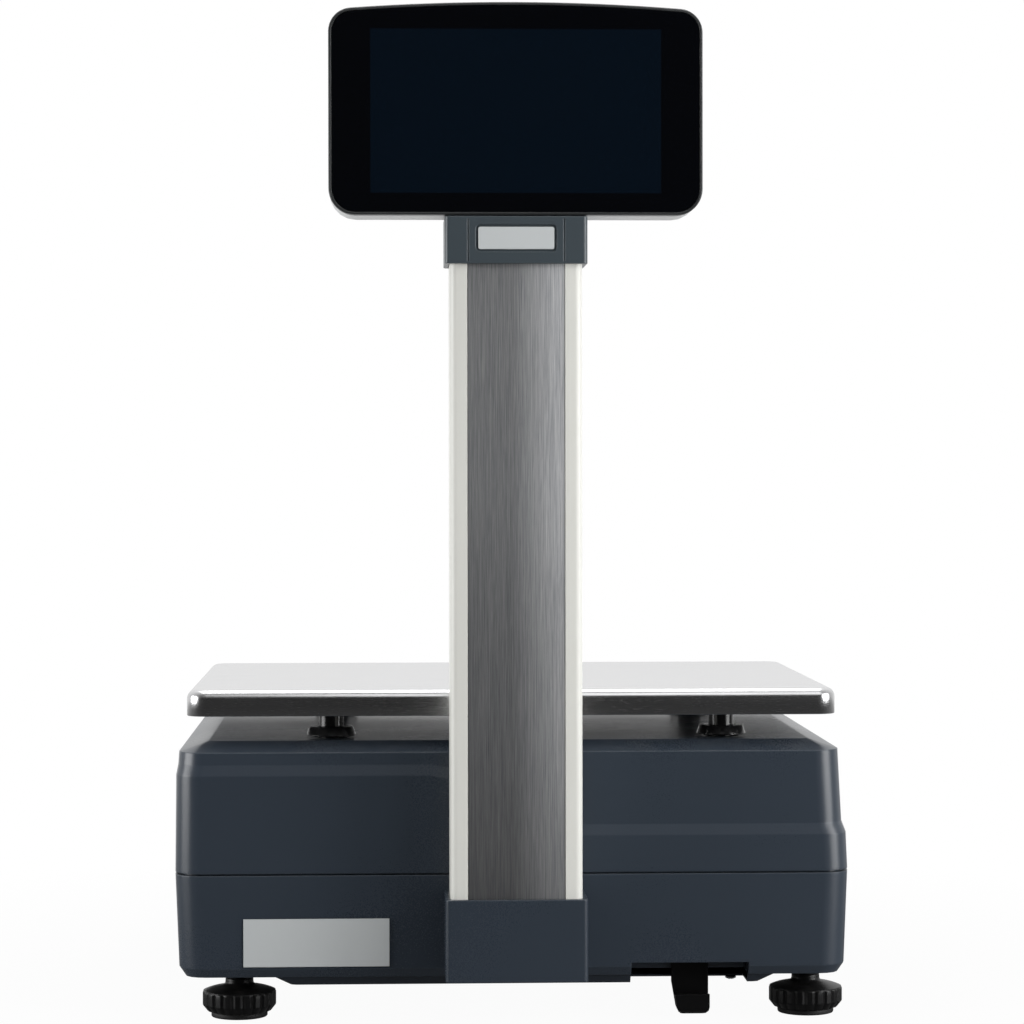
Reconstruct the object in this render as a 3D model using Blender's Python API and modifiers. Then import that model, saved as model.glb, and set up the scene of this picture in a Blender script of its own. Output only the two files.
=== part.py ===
"""Label-printing counter scale with a pole display, built as separate pieces.

Metres, +Z up. X runs across the scale, the customer stands on the -Y side and the operator on the +Y
side. The origin is on the standing plane, in the middle of the footprint.
"""

import math

import bmesh
import bpy
from mathutils import Vector

MILLIMETRE = 0.001

# Clearances
SEAT_GAP = 0.0003
RUN_GAP = 0.0005
SEAM_GAP = 0.0010
HOLE_GAP = 0.0004
FUSE_OVERLAP = 0.001
CUT_OVERSHOOT = 0.010

# Body
BODY_WIDTH = 0.368
BODY_DEPTH = 0.380
BODY_CORNER = 0.015
WALL = 0.0028
FLOOR_Z = 0.026
FLOOR_THICKNESS = 0.003
FLOOR_CHAMFER_RISE = 0.005
FLOOR_CHAMFER_RUN = 0.0035
LOWER_DRAFT = 0.002
REAR_SETBACK = 0.0002
SEAM_Z = 0.0816
LIP_HEIGHT = 0.004
LIP_THICKNESS = 0.0014
DECK_Z = 0.1532
DECK_CHAMFER_RUN = 0.016
DECK_CHAMFER_DROP = 0.0052
DECK_CORNER = 0.006
CONSOLE_DEPTH = 0.1122
CONSOLE_FRONT_Z = 0.110
CONSOLE_CHAMFER_RUN = 0.003

# Shoulder that sweeps across the housing, high on one side and low on the other
SHOULDER_LEFT_Z = 0.1354
SHOULDER_RIGHT_Z = 0.1024
SHOULDER_RISE = 0.006
SHOULDER_DROP = 0.0178
SWEEP_LEFT = -0.045
SWEEP_RIGHT = 0.030
SWEEP_POINTS = 7

# Insets of the upper housing at its left, right, rear and front, going up from the seam
SHOULDER_LOW_INSET = (0.0005, 0.0008, 0.0006, 0.0006)
SHOULDER_HIGH_INSET = (0.0016, 0.0030, 0.0022, 0.0022)
CHAMFER_LINE_INSET = (0.0020, 0.0050, 0.0030, 0.0040)

# Column
COLUMN_WIDTH = 0.0702
COLUMN_DEPTH = 0.038
COLUMN_CORNER = 0.004
COLUMN_WALL = 0.0026
COLUMN_TOP_Z = 0.4317
PANEL_WIDTH = 0.0512
PANEL_THICKNESS = 0.0012
PANEL_ENGAGEMENT = 0.003
SHOE_WIDTH = 0.0755
SHOE_DEPTH = 0.044
SHOE_BOTTOM_Z = 0.0298
SHOE_HEIGHT = 0.0438
SHOE_FLOOR = 0.003
SHOE_CORNER = 0.0025
SHOE_EDGE = 0.0012
COLLAR_HEIGHT = 0.025
COLLAR_ROOF = 0.003
COLLAR_GROOVE_SPAN = 0.0508
COLLAR_GROOVE_WIDTH = 0.0007
COLLAR_GROOVE_DEPTH = 0.0005
COLLAR_GROOVE_MARGIN = 0.0014
BADGE_WIDTH = 0.0401
BADGE_HEIGHT = 0.0118
BADGE_THICKNESS = 0.0007
BADGE_MARGIN = 0.0013
BADGE_CORNER = 0.0010
BADGE_RECESS_DEPTH = 0.001
BADGE_BELOW_COLLAR_TOP = 0.0116
CABLE_BORE_RADIUS = 0.006
CABLE_BORE_Z = 0.053
CABLE_BORE_REACH = 0.030
SHOE_SCREW_SPAN_X = 0.044
SHOE_SCREW_RADIUS = 0.002
SHOE_SCREW_HEAD_RADIUS = 0.0038
SHOE_SCREW_HEAD = 0.0024

# Display head
HEAD_WIDTH = 0.198
HEAD_ABOVE_COLLAR = 0.0006
HEAD_SIDE_HEIGHT = 0.1084
HEAD_ARCH = 0.0042
HEAD_DEPTH = 0.033
HEAD_CORNER_TOP = 0.0126
HEAD_CORNER_BOTTOM = 0.0142
HEAD_CORNER_STEPS = 5
HEAD_ARCH_POINTS = 6
HEAD_WALL = 0.0024
HEAD_BACK_EDGE = 0.006
BEZEL_DEPTH = 0.006
BEZEL_RIM = 0.0016
GLASS_THICKNESS = 0.0017
LCD_WIDTH = 0.165
LCD_HEIGHT = 0.0988
LCD_THICKNESS = 0.0045
LCD_ABOVE_HEAD_BOTTOM = 0.055
HEAD_BOARD_WIDTH = 0.144
HEAD_BOARD_HEIGHT = 0.060
HEAD_BOARD_BOSS_RADIUS = 0.003
HEAD_BOARD_BOSS_LENGTH = 0.011
BOARD_THICKNESS = 0.0016
OPERATOR_WINDOW_WIDTH = 0.124
OPERATOR_WINDOW_HEIGHT = 0.052
OPERATOR_WINDOW_THICKNESS = 0.0012
OPERATOR_WINDOW_RIM = 0.005
OPERATOR_LCD_THICKNESS = 0.004
OPERATOR_LCD_MARGIN = 0.003
SPIGOT_RADIUS = 0.009
SPIGOT_BORE_RADIUS = 0.006
SPIGOT_FLANGE_RADIUS = 0.011
SPIGOT_FLANGE = 0.002
SPIGOT_BELOW_COLLAR = 0.012
SPIGOT_HOLE_REACH = 0.020
SWIVEL_HOLE_REACH = 0.050

# Feet
FOOT_CENTRE_X = 0.0066
FOOT_INSET_X = 0.0271
FOOT_INSET_Y = 0.035
PAD_RADIUS = 0.0155
PAD_THICKNESS = 0.003
PAD_EDGE = 0.0005
PAD_PIVOT_RADIUS = 0.003
PAD_PIVOT_HEIGHT = 0.004
KNOB_RADIUS = 0.0202
KNOB_RIM_BOTTOM_Z = 0.0055
KNOB_RIM_TOP_Z = 0.0135
KNOB_DOME_Z = 0.0168
KNOB_STEM_RADIUS = 0.0077
KNOB_STEM_TOP_Z = 0.0214
KNOB_FLUTES = 18
KNOB_FLUTE_RADIUS = 0.0013
STUD_RADIUS = 0.0037
STUD_TOP_Z = 0.041
STUD_TIP = 0.0011
FOOT_BOSS_WALL = 0.0052
FOOT_BOSS_TOP_Z = 0.044

# Base pan under the floor
PAN_LEFT_X = -0.122
PAN_RIGHT_X = 0.135
PAN_BOTTOM_Z = 0.021
PAN_THICKNESS = 0.0012
PAN_SLOPE_RUN = 0.009
PAN_CORNER = 0.004
PAN_REAR_INSET = 0.006
PAN_FRONT_INSET = 0.020

# Cable outlet and well
NOTCH_WIDTH = 0.064
NOTCH_INSET = 0.056
NOTCH_TOP_Z = 0.033
NOTCH_DEPTH = 0.027
WELL_WALL = 0.0018
WELL_TOP_Z = 0.068
INLET_WIDTH = 0.0272
INLET_DEPTH = 0.0186
INLET_HEIGHT = 0.016
SOCKET_WIDTH = 0.016
SOCKET_DEPTH = 0.0135
SOCKET_HEIGHT = 0.014
PORT_WALL = 0.002
HOOK_FROM_NOTCH = 0.034
HOOK_WIDTH = 0.0203
HOOK_BOTTOM_Z = 0.002
HOOK_TOP_Z = 0.046
HOOK_THICKNESS = 0.0032
HOOK_REACH = 0.012
HOOK_LIP = 0.011
HOOK_TAPER = 0.003
HOOK_TAPER_Z = 0.019
HOOK_CORNER = 0.004
HOOK_THROAT_RADIUS = 0.002
HOOK_BEND_RADIUS = 0.004
RATING_WIDTH = 0.079
RATING_HEIGHT = 0.026
RATING_THICKNESS = 0.0004
RATING_OFF_CENTRE = 0.0039
RATING_Z = 0.0452

# Weighing chain
PLATTER_SIDE_INSET = 0.006
PLATTER_FRONT_ROOM = 0.118
PLATTER_CORNER = 0.011
PLATTER_SKIRT_Z = 0.167
PLATTER_TOP_Z = 0.1813
PLATTER_EDGE_RADIUS = 0.005
PLATTER_SHEET = 0.0012
PLATTER_SETBACK = 0.012
WEIGHING_CENTRE_X = 0.0089
POST_INSET_X = 0.0695
POST_INSET_Y = 0.03185
POST_RADIUS = 0.007
POST_HOLE_RADIUS = 0.010
POST_COLLAR_RADIUS = 0.0137
POST_COLLAR_TOP_RADIUS = 0.0123
POST_COLLAR_HEIGHT = 0.005
POST_COLLAR_LIFT = 0.0009
POST_HEAD_RADIUS = 0.009
POST_HEAD_HEIGHT = 0.005
POST_EDGE = 0.001
POST_HOLE_REACH = 0.05
CHASSIS_TO_SUPPLY = 0.003
CHASSIS_END_INSET = 0.01315
CHASSIS_THICKNESS = 0.005
CELL_LENGTH = 0.130
CELL_WIDTH = 0.030
CELL_HEIGHT = 0.022
CELL_EYE_RADIUS = 0.0075
CELL_EYE_SPACING = 0.030
CELL_SLOT = 0.003
SPACER_LENGTH = 0.030
SPACER_LOWER_HEIGHT = 0.013
SPACER_UPPER_HEIGHT = 0.008
SPIDER_THICKNESS = 0.008
SPIDER_ARM = 0.026
SPIDER_BRIDGE = 0.064
SPIDER_WINDOW_RADIUS = 0.005
CELL_BOLT_RADIUS = 0.003
CELL_BOLT_HEAD_RADIUS = 0.005
CELL_BOLT_HEAD = 0.005
CELL_BOLT_DEPTH = 0.012
CELL_BOLT_SPAN = 0.014
CELL_BOLT_INSET = 0.015

# Label printer under the console
PRINTER_INSET = 0.020
PRINTER_WIDTH = 0.079
PRINTER_SHEET = 0.002
PRINTER_REAR_SETBACK = 0.005
PRINTER_FRONT_Y_INSET = 0.0102
PRINTER_FLOOR_Z = 0.045
PRINTER_TOP_DEPTH = 0.0038
LID_OPENING_INSET = 0.003
LID_OPENING_START = 0.0079
LID_OPENING_END = 0.111
LID_OPENING_REACH = 0.012
LID_THICKNESS = 0.0028
LID_RECESS = 0.0002
LID_END = 0.1055
LID_AXIS_ALONG = 0.0144
LID_BARREL_RADIUS = 0.0060
LID_GRIP_WIDTH = 0.034
LID_GRIP_LENGTH = 0.010
LID_GRIP_DEPTH = 0.0013
LID_GRIP_FROM_END = 0.005
LID_PIN_RADIUS = 0.0015
ROLL_RADIUS = 0.036
ROLL_BORE_RADIUS = 0.0127
ROLL_WIDTH = 0.060
ROLL_CENTRE_Y_FROM_FRONT = 0.0632
ROLL_CENTRE_Z = 0.084
SPINDLE_HUB_RADIUS = 0.0124
SPINDLE_END_RADIUS = 0.004
SPINDLE_FLANGE_RISE = 0.004
SPINDLE_FLANGE_END = 0.0023
PLATEN_RADIUS = 0.006
PLATEN_SHAFT_RADIUS = 0.0025
PLATEN_WIDTH = 0.066
PLATEN_Y_FROM_FRONT = 0.0147
PLATEN_Z = 0.099
PRINT_HEAD_LENGTH = 0.010
PRINT_HEAD_THICKNESS = 0.0037
PRINT_HEAD_Z = 0.1053
TEAR_BAR_THICKNESS = 0.0008
TEAR_BAR_Y_FROM_FRONT = 0.0102
TEAR_BAR_BOTTOM_Z = 0.1055
TEAR_BAR_TOP_Z = 0.1096

# Console and electronics
KEYPAD_FROM_PRINTER = 0.011
KEYPAD_INSET = 0.026
KEYPAD_START = 0.014
KEYPAD_END = 0.104
KEYPAD_THICKNESS = 0.0007
KEYPAD_BOARD_MARGIN = 0.003
MAIN_BOARD_WIDTH = 0.190
MAIN_BOARD_DEPTH = 0.080
MAIN_BOARD_Z = 0.040
MAIN_BOARD_PARTS = (
    (0.060, 0.038, 0.028, 0.028, 0.004),
    (0.020, 0.010, 0.050, 0.008, 0.009),
    (0.120, 0.008, 0.040, 0.012, 0.012),
    (0.130, 0.044, 0.018, 0.018, 0.014),
)
BOARD_POST_RADIUS = 0.003
SUPPLY_WIDTH = 0.056
SUPPLY_DEPTH = 0.120
SUPPLY_HEIGHT = 0.032
SUPPLY_EDGE = 0.0015
SUPPLY_INSET = 0.023
ROCKER_FLANGE_WIDTH = 0.025
ROCKER_FLANGE_HEIGHT = 0.016
ROCKER_FLANGE = 0.001
ROCKER_BODY_WIDTH = 0.0204
ROCKER_BODY_HEIGHT = 0.0124
ROCKER_BODY_DEPTH = 0.013
ROCKER_POCKET_WIDTH = 0.0160
ROCKER_POCKET_HEIGHT = 0.0090
ROCKER_POCKET_DEPTH = 0.009
ROCKER_HALF_LENGTH = 0.0068
ROCKER_SETBACK = 0.0002
ROCKER_EAR = 0.0005
ROCKER_END_DEPTH = 0.0045
ROCKER_KEEL_DEPTH = 0.0062
ROCKER_TILT = 8.0
ROCKER_Y_FROM_FRONT = 0.075
ROCKER_Z = 0.056
VIAL_INSET_X = 0.034
VIAL_FLANGE_RADIUS = 0.0105
VIAL_BODY_RADIUS = 0.008
VIAL_RADIUS = 0.0062
VIAL_FLANGE = 0.0015
VIAL_DEPTH = 0.008
VIAL_FLOOR = 0.0015
VIAL_EDGE = 0.001
VIAL_HOLE_REACH = 0.030
VIAL_FROM_CONSOLE = 0.025

# Housing screws
SCREW_INSET_X = 0.0155
SCREW_REAR_Y_FROM_REAR = 0.090
SCREW_FRONT_ROOM = 0.140
SCREW_RADIUS = 0.002
SCREW_HEAD_RADIUS = 0.0035
SCREW_HEAD = 0.0022
SCREW_BOSS_RADIUS = 0.0052
SCREW_BOSS_HEIGHT = 0.016
SCREW_RIB = 0.003
SCREW_BOSS_ROOF = 0.003

# Places worked out from the sizes above
OVERALL_DEPTH = BODY_DEPTH + SEAT_GAP + SHOE_DEPTH
FRONT_Y = OVERALL_DEPTH / 2
REAR_Y = FRONT_Y - BODY_DEPTH
HALF_WIDTH = BODY_WIDTH / 2
CONSOLE_Y = FRONT_Y - CONSOLE_DEPTH
CONSOLE_FALL = (DECK_Z - CONSOLE_FRONT_Z) / CONSOLE_DEPTH
CONSOLE_ANGLE = math.atan(CONSOLE_FALL)
COLUMN_Y = -FRONT_Y + SHOE_DEPTH / 2
COLUMN_FRONT_Y = COLUMN_Y - COLUMN_DEPTH / 2
COLUMN_BACK_Y = COLUMN_Y + COLUMN_DEPTH / 2
COLUMN_BOTTOM_Z = SHOE_BOTTOM_Z + SHOE_FLOOR + SEAT_GAP
COLLAR_TOP_Z = COLUMN_TOP_Z + SEAT_GAP + COLLAR_ROOF
COLLAR_BOTTOM_Z = COLLAR_TOP_Z - COLLAR_HEIGHT
BADGE_Z = COLLAR_TOP_Z - BADGE_BELOW_COLLAR_TOP
HEAD_BOTTOM_Z = COLLAR_TOP_Z + HEAD_ABOVE_COLLAR
LCD_CENTRE_Z = HEAD_BOTTOM_Z + LCD_ABOVE_HEAD_BOTTOM
HEAD_FRONT_Y = COLUMN_FRONT_Y
HEAD_BACK_Y = HEAD_FRONT_Y + HEAD_DEPTH
NOTCH_RIGHT_X = HALF_WIDTH - NOTCH_INSET
NOTCH_LEFT_X = NOTCH_RIGHT_X - NOTCH_WIDTH
HOOK_CENTRE_X = NOTCH_LEFT_X + HOOK_FROM_NOTCH
RATING_X = RATING_OFF_CENTRE - (HALF_WIDTH + SHOE_WIDTH / 2) / 2
PLATTER_WIDTH = BODY_WIDTH - 2 * PLATTER_SIDE_INSET
PLATTER_DEPTH = BODY_DEPTH - PLATTER_SETBACK - PLATTER_FRONT_ROOM
PLATTER_Y = REAR_Y + PLATTER_SETBACK + PLATTER_DEPTH / 2
POST_SPAN_X = PLATTER_WIDTH - 2 * POST_INSET_X
POST_SPAN_Y = PLATTER_DEPTH - 2 * POST_INSET_Y
SUPPLY_RIGHT_X = HALF_WIDTH - SUPPLY_INSET
SUPPLY_LEFT_X = SUPPLY_RIGHT_X - SUPPLY_WIDTH
CHASSIS_WIDTH = 2 * (SUPPLY_LEFT_X - CHASSIS_TO_SUPPLY - WEIGHING_CENTRE_X)
CHASSIS_DEPTH = POST_SPAN_Y - 2 * CHASSIS_END_INSET
SCREW_SPAN_Y = BODY_DEPTH - SCREW_REAR_Y_FROM_REAR - SCREW_FRONT_ROOM
PRINTER_LEFT_X = -HALF_WIDTH + PRINTER_INSET
PRINTER_RIGHT_X = PRINTER_LEFT_X + PRINTER_WIDTH
MAIN_BOARD_CENTRE_X = (PRINTER_RIGHT_X + HALF_WIDTH - LOWER_DRAFT - WALL) / 2
KEYPAD_LEFT_X = PRINTER_RIGHT_X + KEYPAD_FROM_PRINTER
KEYPAD_RIGHT_X = HALF_WIDTH - KEYPAD_INSET
VIAL_X = HALF_WIDTH - VIAL_INSET_X
LID_OPENING_LEFT_X = PRINTER_LEFT_X + LID_OPENING_INSET
FLOOR_TOP_Z = FLOOR_Z + FLOOR_THICKNESS
CHASSIS_Z = FLOOR_TOP_Z + SEAT_GAP
SPACER_LOWER_Z = CHASSIS_Z + CHASSIS_THICKNESS + SEAT_GAP
CELL_Z = SPACER_LOWER_Z + SPACER_LOWER_HEIGHT + SEAT_GAP
SPACER_UPPER_Z = CELL_Z + CELL_HEIGHT + SEAT_GAP
SPIDER_Z = SPACER_UPPER_Z + SPACER_UPPER_HEIGHT + SEAT_GAP
POST_BOTTOM_Z = SPIDER_Z + SPIDER_THICKNESS + SEAT_GAP
PLATTER_UNDERSIDE_Z = PLATTER_TOP_Z - PLATTER_SHEET
POST_TOP_Z = PLATTER_UNDERSIDE_Z - SEAT_GAP
STUD_BORE_RADIUS = STUD_RADIUS + HOLE_GAP
FOOT_BOSS_RADIUS = STUD_BORE_RADIUS + FOOT_BOSS_WALL
NOTCH_INNER_Y = REAR_Y + NOTCH_DEPTH
LID_OPENING_RIGHT_X = PRINTER_RIGHT_X - PRINTER_SHEET
LID_AXIS_DEPTH = LID_BARREL_RADIUS + LID_RECESS
ROLL_Y = FRONT_Y - ROLL_CENTRE_Y_FROM_FRONT
PLATEN_Y = FRONT_Y - PLATEN_Y_FROM_FRONT
PRINTER_X = (LID_OPENING_LEFT_X + LID_OPENING_RIGHT_X) / 2


def empty_scene():
    """Remove whatever the scene holds."""
    for old in list(bpy.data.objects):
        bpy.data.objects.remove(old)


def new_collection(name):
    """A collection of its own under the scene."""
    collection = bpy.data.collections.new(name)
    bpy.context.scene.collection.children.link(collection)
    return collection


def linear(channel):
    """One sRGB channel from 0 to 255 as a linear value."""
    value = channel / 255
    if value <= 0.04045:
        return value / 12.92
    return ((value + 0.055) / 1.055) ** 2.4


def material(name, rgb, roughness, metallic=0.0):
    """A Principled material with a colour given as sRGB."""
    result = bpy.data.materials.new(name)
    result.use_nodes = True
    shader = result.node_tree.nodes["Principled BSDF"]
    shader.inputs["Base Color"].default_value = (*[linear(channel) for channel in rgb], 1.0)
    shader.inputs["Roughness"].default_value = roughness
    shader.inputs["Metallic"].default_value = metallic
    return result


def link(name, mesh, surface, location=(0, 0, 0), rotation=(0, 0, 0), parent=None):
    """A named piece in the object's collection."""
    piece = bpy.data.objects.new(name, mesh)
    piece.location = location
    piece.rotation_euler = rotation
    piece.parent = parent
    mesh.materials.clear()
    mesh.materials.append(surface)
    PIECES.objects.link(piece)
    return piece


def tool(name, mesh, location=(0, 0, 0), rotation=(0, 0, 0), parent=None):
    """A cutter or a shape to fuse, drawn as wire and kept out of the object."""
    shape = bpy.data.objects.new(name, mesh)
    shape.location = location
    shape.rotation_euler = rotation
    shape.parent = parent
    shape.hide_render = True
    shape.display_type = "WIRE"
    TOOLS.objects.link(shape)
    return shape


def frame_at(name, location, rotation=(0, 0, 0), parent=None):
    """An empty that carries pieces on an axis or a slope."""
    empty = bpy.data.objects.new(name, None)
    empty.location = location
    empty.rotation_euler = rotation
    empty.parent = parent
    PIECES.objects.link(empty)
    return empty


def combine(piece, shapes, operation):
    """Boolean modifiers that cut shapes from a piece or fuse them to it."""
    for shape in shapes:
        modifier = piece.modifiers.new(shape.name, "BOOLEAN")
        modifier.operation = operation
        modifier.solver = "EXACT"
        modifier.object = shape


def cut(piece, *shapes):
    """Cut shapes from a piece."""
    combine(piece, shapes, "DIFFERENCE")


def fuse(piece, *shapes):
    """Fuse shapes to a piece."""
    combine(piece, shapes, "UNION")


def bevel(piece, width, segments=2):
    """Round a piece's sharp edges."""
    modifier = piece.modifiers.new("edges", "BEVEL")
    modifier.width = width
    modifier.segments = segments
    modifier.limit_method = "ANGLE"
    modifier.angle_limit = math.radians(40)


def repeat(piece, count, offset):
    """Copies of a piece in a row, each a solid of its own."""
    modifier = piece.modifiers.new("row", "ARRAY")
    modifier.count = count
    modifier.use_relative_offset = False
    modifier.use_constant_offset = True
    modifier.constant_offset_displace = offset


def block(x_span, y_span, z_span):
    """A box mesh between two corners, and the place of its middle."""
    spans = (x_span, y_span, z_span)
    size = [high - low for low, high in spans]
    shape = bmesh.new()
    bmesh.ops.create_cube(shape, size=1.0)
    bmesh.ops.scale(shape, vec=size, verts=shape.verts)
    mesh = bpy.data.meshes.new("block")
    shape.to_mesh(mesh)
    shape.free()
    return mesh, [(low + high) / 2 for low, high in spans]


def block_piece(name, spans, surface, parent=None):
    """A box-shaped piece given by its spans in X, Y and Z."""
    mesh, middle = block(*spans)
    return link(name, mesh, surface, middle, parent=parent)


def block_tool(name, spans, parent=None):
    """A box-shaped cutter given by its spans in X, Y and Z."""
    mesh, middle = block(*spans)
    return tool(name, mesh, middle, parent=parent)


def rod(radius, length, segments=16):
    """A cylinder mesh along Z, centred on its middle."""
    shape = bmesh.new()
    bmesh.ops.create_cone(
        shape, cap_ends=True, segments=segments, radius1=radius, radius2=radius, depth=length
    )
    for face in shape.faces:
        face.smooth = len(face.verts) == 4
    mesh = bpy.data.meshes.new("rod")
    shape.to_mesh(mesh)
    shape.free()
    return mesh


def profile_mesh(profile, closed):
    """The edges of a profile given as (radius, height) points."""
    mesh = bpy.data.meshes.new("profile")
    edges = [(index, index + 1) for index in range(len(profile) - 1)]
    if closed:
        edges.append((len(profile) - 1, 0))
    mesh.from_pydata([(radius, 0.0, height) for radius, height in profile], edges, [])
    return mesh


def turn(piece, steps):
    """Turn a piece's profile about its own Z axis."""
    modifier = piece.modifiers.new("turned", "SCREW")
    modifier.steps = steps
    modifier.render_steps = steps
    modifier.use_merge_vertices = True
    modifier.merge_threshold = 0.00001


def turned(name, profile, surface, location, steps=20, rotation=(0, 0, 0), parent=None, closed=False):
    """A turned piece, its profile running down the outer side."""
    piece = link(name, profile_mesh(profile, closed), surface, location, rotation, parent)
    turn(piece, steps)
    return piece


def baked(source):
    """The finished mesh of an object with its modifiers or its curve applied."""
    graph = bpy.context.evaluated_depsgraph_get()
    return bpy.data.meshes.new_from_object(source.evaluated_get(graph))


def extruded(outlines, thickness):
    """A flat outline, with further outlines as its holes, extruded both ways and welded.

    A curve's fill is too coarse for small shapes in metres, so it is drawn in millimetres.
    """
    curve = bpy.data.curves.new("outline", "CURVE")
    curve.dimensions = "2D"
    curve.fill_mode = "BOTH"
    curve.extrude = thickness / 2 / MILLIMETRE
    for outline in outlines:
        spline = curve.splines.new("POLY")
        spline.points.add(len(outline) - 1)
        for point, (x, y) in zip(spline.points, outline):
            point.co = (x / MILLIMETRE, y / MILLIMETRE, 0.0, 1.0)
        spline.use_cyclic_u = True
    source = bpy.data.objects.new("outline", curve)
    TOOLS.objects.link(source)
    mesh = baked(source)
    bpy.data.objects.remove(source)
    shape = bmesh.new()
    shape.from_mesh(mesh)
    bmesh.ops.remove_doubles(shape, verts=shape.verts, dist=0.0001)
    bmesh.ops.scale(shape, vec=(MILLIMETRE, MILLIMETRE, MILLIMETRE), verts=shape.verts)
    bmesh.ops.recalc_face_normals(shape, faces=shape.faces)
    shape.to_mesh(mesh)
    shape.free()
    return mesh


def rounded(corners, steps=3):
    """An outline with its corners rounded; each corner is (x, y, radius)."""
    outline = []
    for index, (x, y, radius) in enumerate(corners):
        corner = Vector((x, y))
        before = (Vector(corners[index - 1][:2]) - corner).normalized()
        after = (Vector(corners[(index + 1) % len(corners)][:2]) - corner).normalized()
        if radius == 0:
            outline.append((x, y))
            continue
        half_angle = before.angle(after) / 2
        reach = radius / math.tan(half_angle)
        centre = corner + (before + after).normalized() * radius / math.sin(half_angle)
        start = (corner + before * reach - centre).normalized()
        end = (corner + after * reach - centre).normalized()
        for step in range(steps + 1):
            arm = start.slerp(end, step / steps) * radius
            outline.append((centre.x + arm.x, centre.y + arm.y))
    return outline


def rectangle(width, height, radius, centre=(0.0, 0.0)):
    """The corners of a rounded rectangle, anticlockwise."""
    x = centre[0]
    y = centre[1]
    return rounded([
        (x - width / 2, y - height / 2, radius),
        (x + width / 2, y - height / 2, radius),
        (x + width / 2, y + height / 2, radius),
        (x - width / 2, y + height / 2, radius),
    ])


def plan_ring(left, right, rear, front, radius, ends=(), sides=(), steps=4):
    """A rounded rectangle in plan, anticlockwise from the rear, with extra points on its straight runs."""
    def corner(x, y, start):
        """One rounded corner as an arc from a start angle."""
        angles = [math.radians(start + 90 * step / steps) for step in range(steps + 1)]
        return [(x + radius * math.cos(angle), y + radius * math.sin(angle)) for angle in angles]

    ring = [(x, rear) for x in ends]
    ring += corner(right - radius, rear + radius, -90)
    ring += [(right, y) for y in sides]
    ring += corner(right - radius, front - radius, 0)
    ring += [(x, front) for x in reversed(ends)]
    ring += corner(left + radius, front - radius, 90)
    ring += [(left, y) for y in reversed(sides)]
    ring += corner(left + radius, rear + radius, 180)
    return ring


def cap(shape, ring, ends, flip):
    """Close a ring with rungs between its left and right sides, so that it may slope along Y."""
    side = (len(ring) - 2 * ends) // 2
    rear = ring[:ends]
    right = ring[ends:ends + side]
    front = ring[ends + side:2 * ends + side]
    left = ring[2 * ends + side:][::-1]
    faces = [[left[0], *rear, right[0], right[1], left[1]]]
    for rung in range(1, side - 2):
        faces.append([left[rung], right[rung], right[rung + 1], left[rung + 1]])
    faces.append([left[-2], right[-2], right[-1], *front, left[-1]])
    for face in faces:
        shape.faces.new(face[::-1] if flip else face)


def lofted(rings, ends=0):
    """A closed solid through rings of equal length, capped at the first and the last."""
    shape = bmesh.new()
    rows = [[shape.verts.new(point) for point in ring] for ring in rings]
    for lower, upper in zip(rows, rows[1:]):
        for index in range(len(lower)):
            following = (index + 1) % len(lower)
            shape.faces.new((lower[index], lower[following], upper[following], upper[index]))
    cap(shape, rows[0], ends, flip=True)
    cap(shape, rows[-1], ends, flip=False)
    mesh = bpy.data.meshes.new("loft")
    shape.to_mesh(mesh)
    shape.free()
    return mesh


def top_height(y):
    """Height of the top face: a level deck, then the console falling towards the operator."""
    return DECK_Z - max(0.0, y - CONSOLE_Y) * CONSOLE_FALL


def shoulder_height(x, y):
    """Height of the shoulder's lower edge, high on the left and sweeping down to the right."""
    part = min(1.0, max(0.0, (x - SWEEP_LEFT) / (SWEEP_RIGHT - SWEEP_LEFT)))
    sweep = part * part * (3 - 2 * part)
    height = SHOULDER_LEFT_Z + (SHOULDER_RIGHT_Z - SHOULDER_LEFT_Z) * sweep
    return min(height, top_height(y) - SHOULDER_DROP)


def body_ring(inset, height, radius=BODY_CORNER):
    """A ring of the body, inset at its left, right, rear and front, at a height that may vary."""
    left, right, rear, front = inset
    step = (SWEEP_RIGHT - SWEEP_LEFT) / (SWEEP_POINTS - 1)
    ends = [SWEEP_LEFT + index * step for index in range(SWEEP_POINTS)]
    low_side_y = CONSOLE_Y + (DECK_Z - SHOULDER_RIGHT_Z - SHOULDER_DROP) / CONSOLE_FALL
    outline = plan_ring(
        -HALF_WIDTH + left, HALF_WIDTH - right, REAR_Y + rear, FRONT_Y - front, radius,
        ends, (CONSOLE_Y, low_side_y),
    )
    return [Vector((x, y, height(x, y))) for x, y in outline]


def level(z):
    """A height that is the same everywhere."""
    return lambda x, y: z


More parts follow.
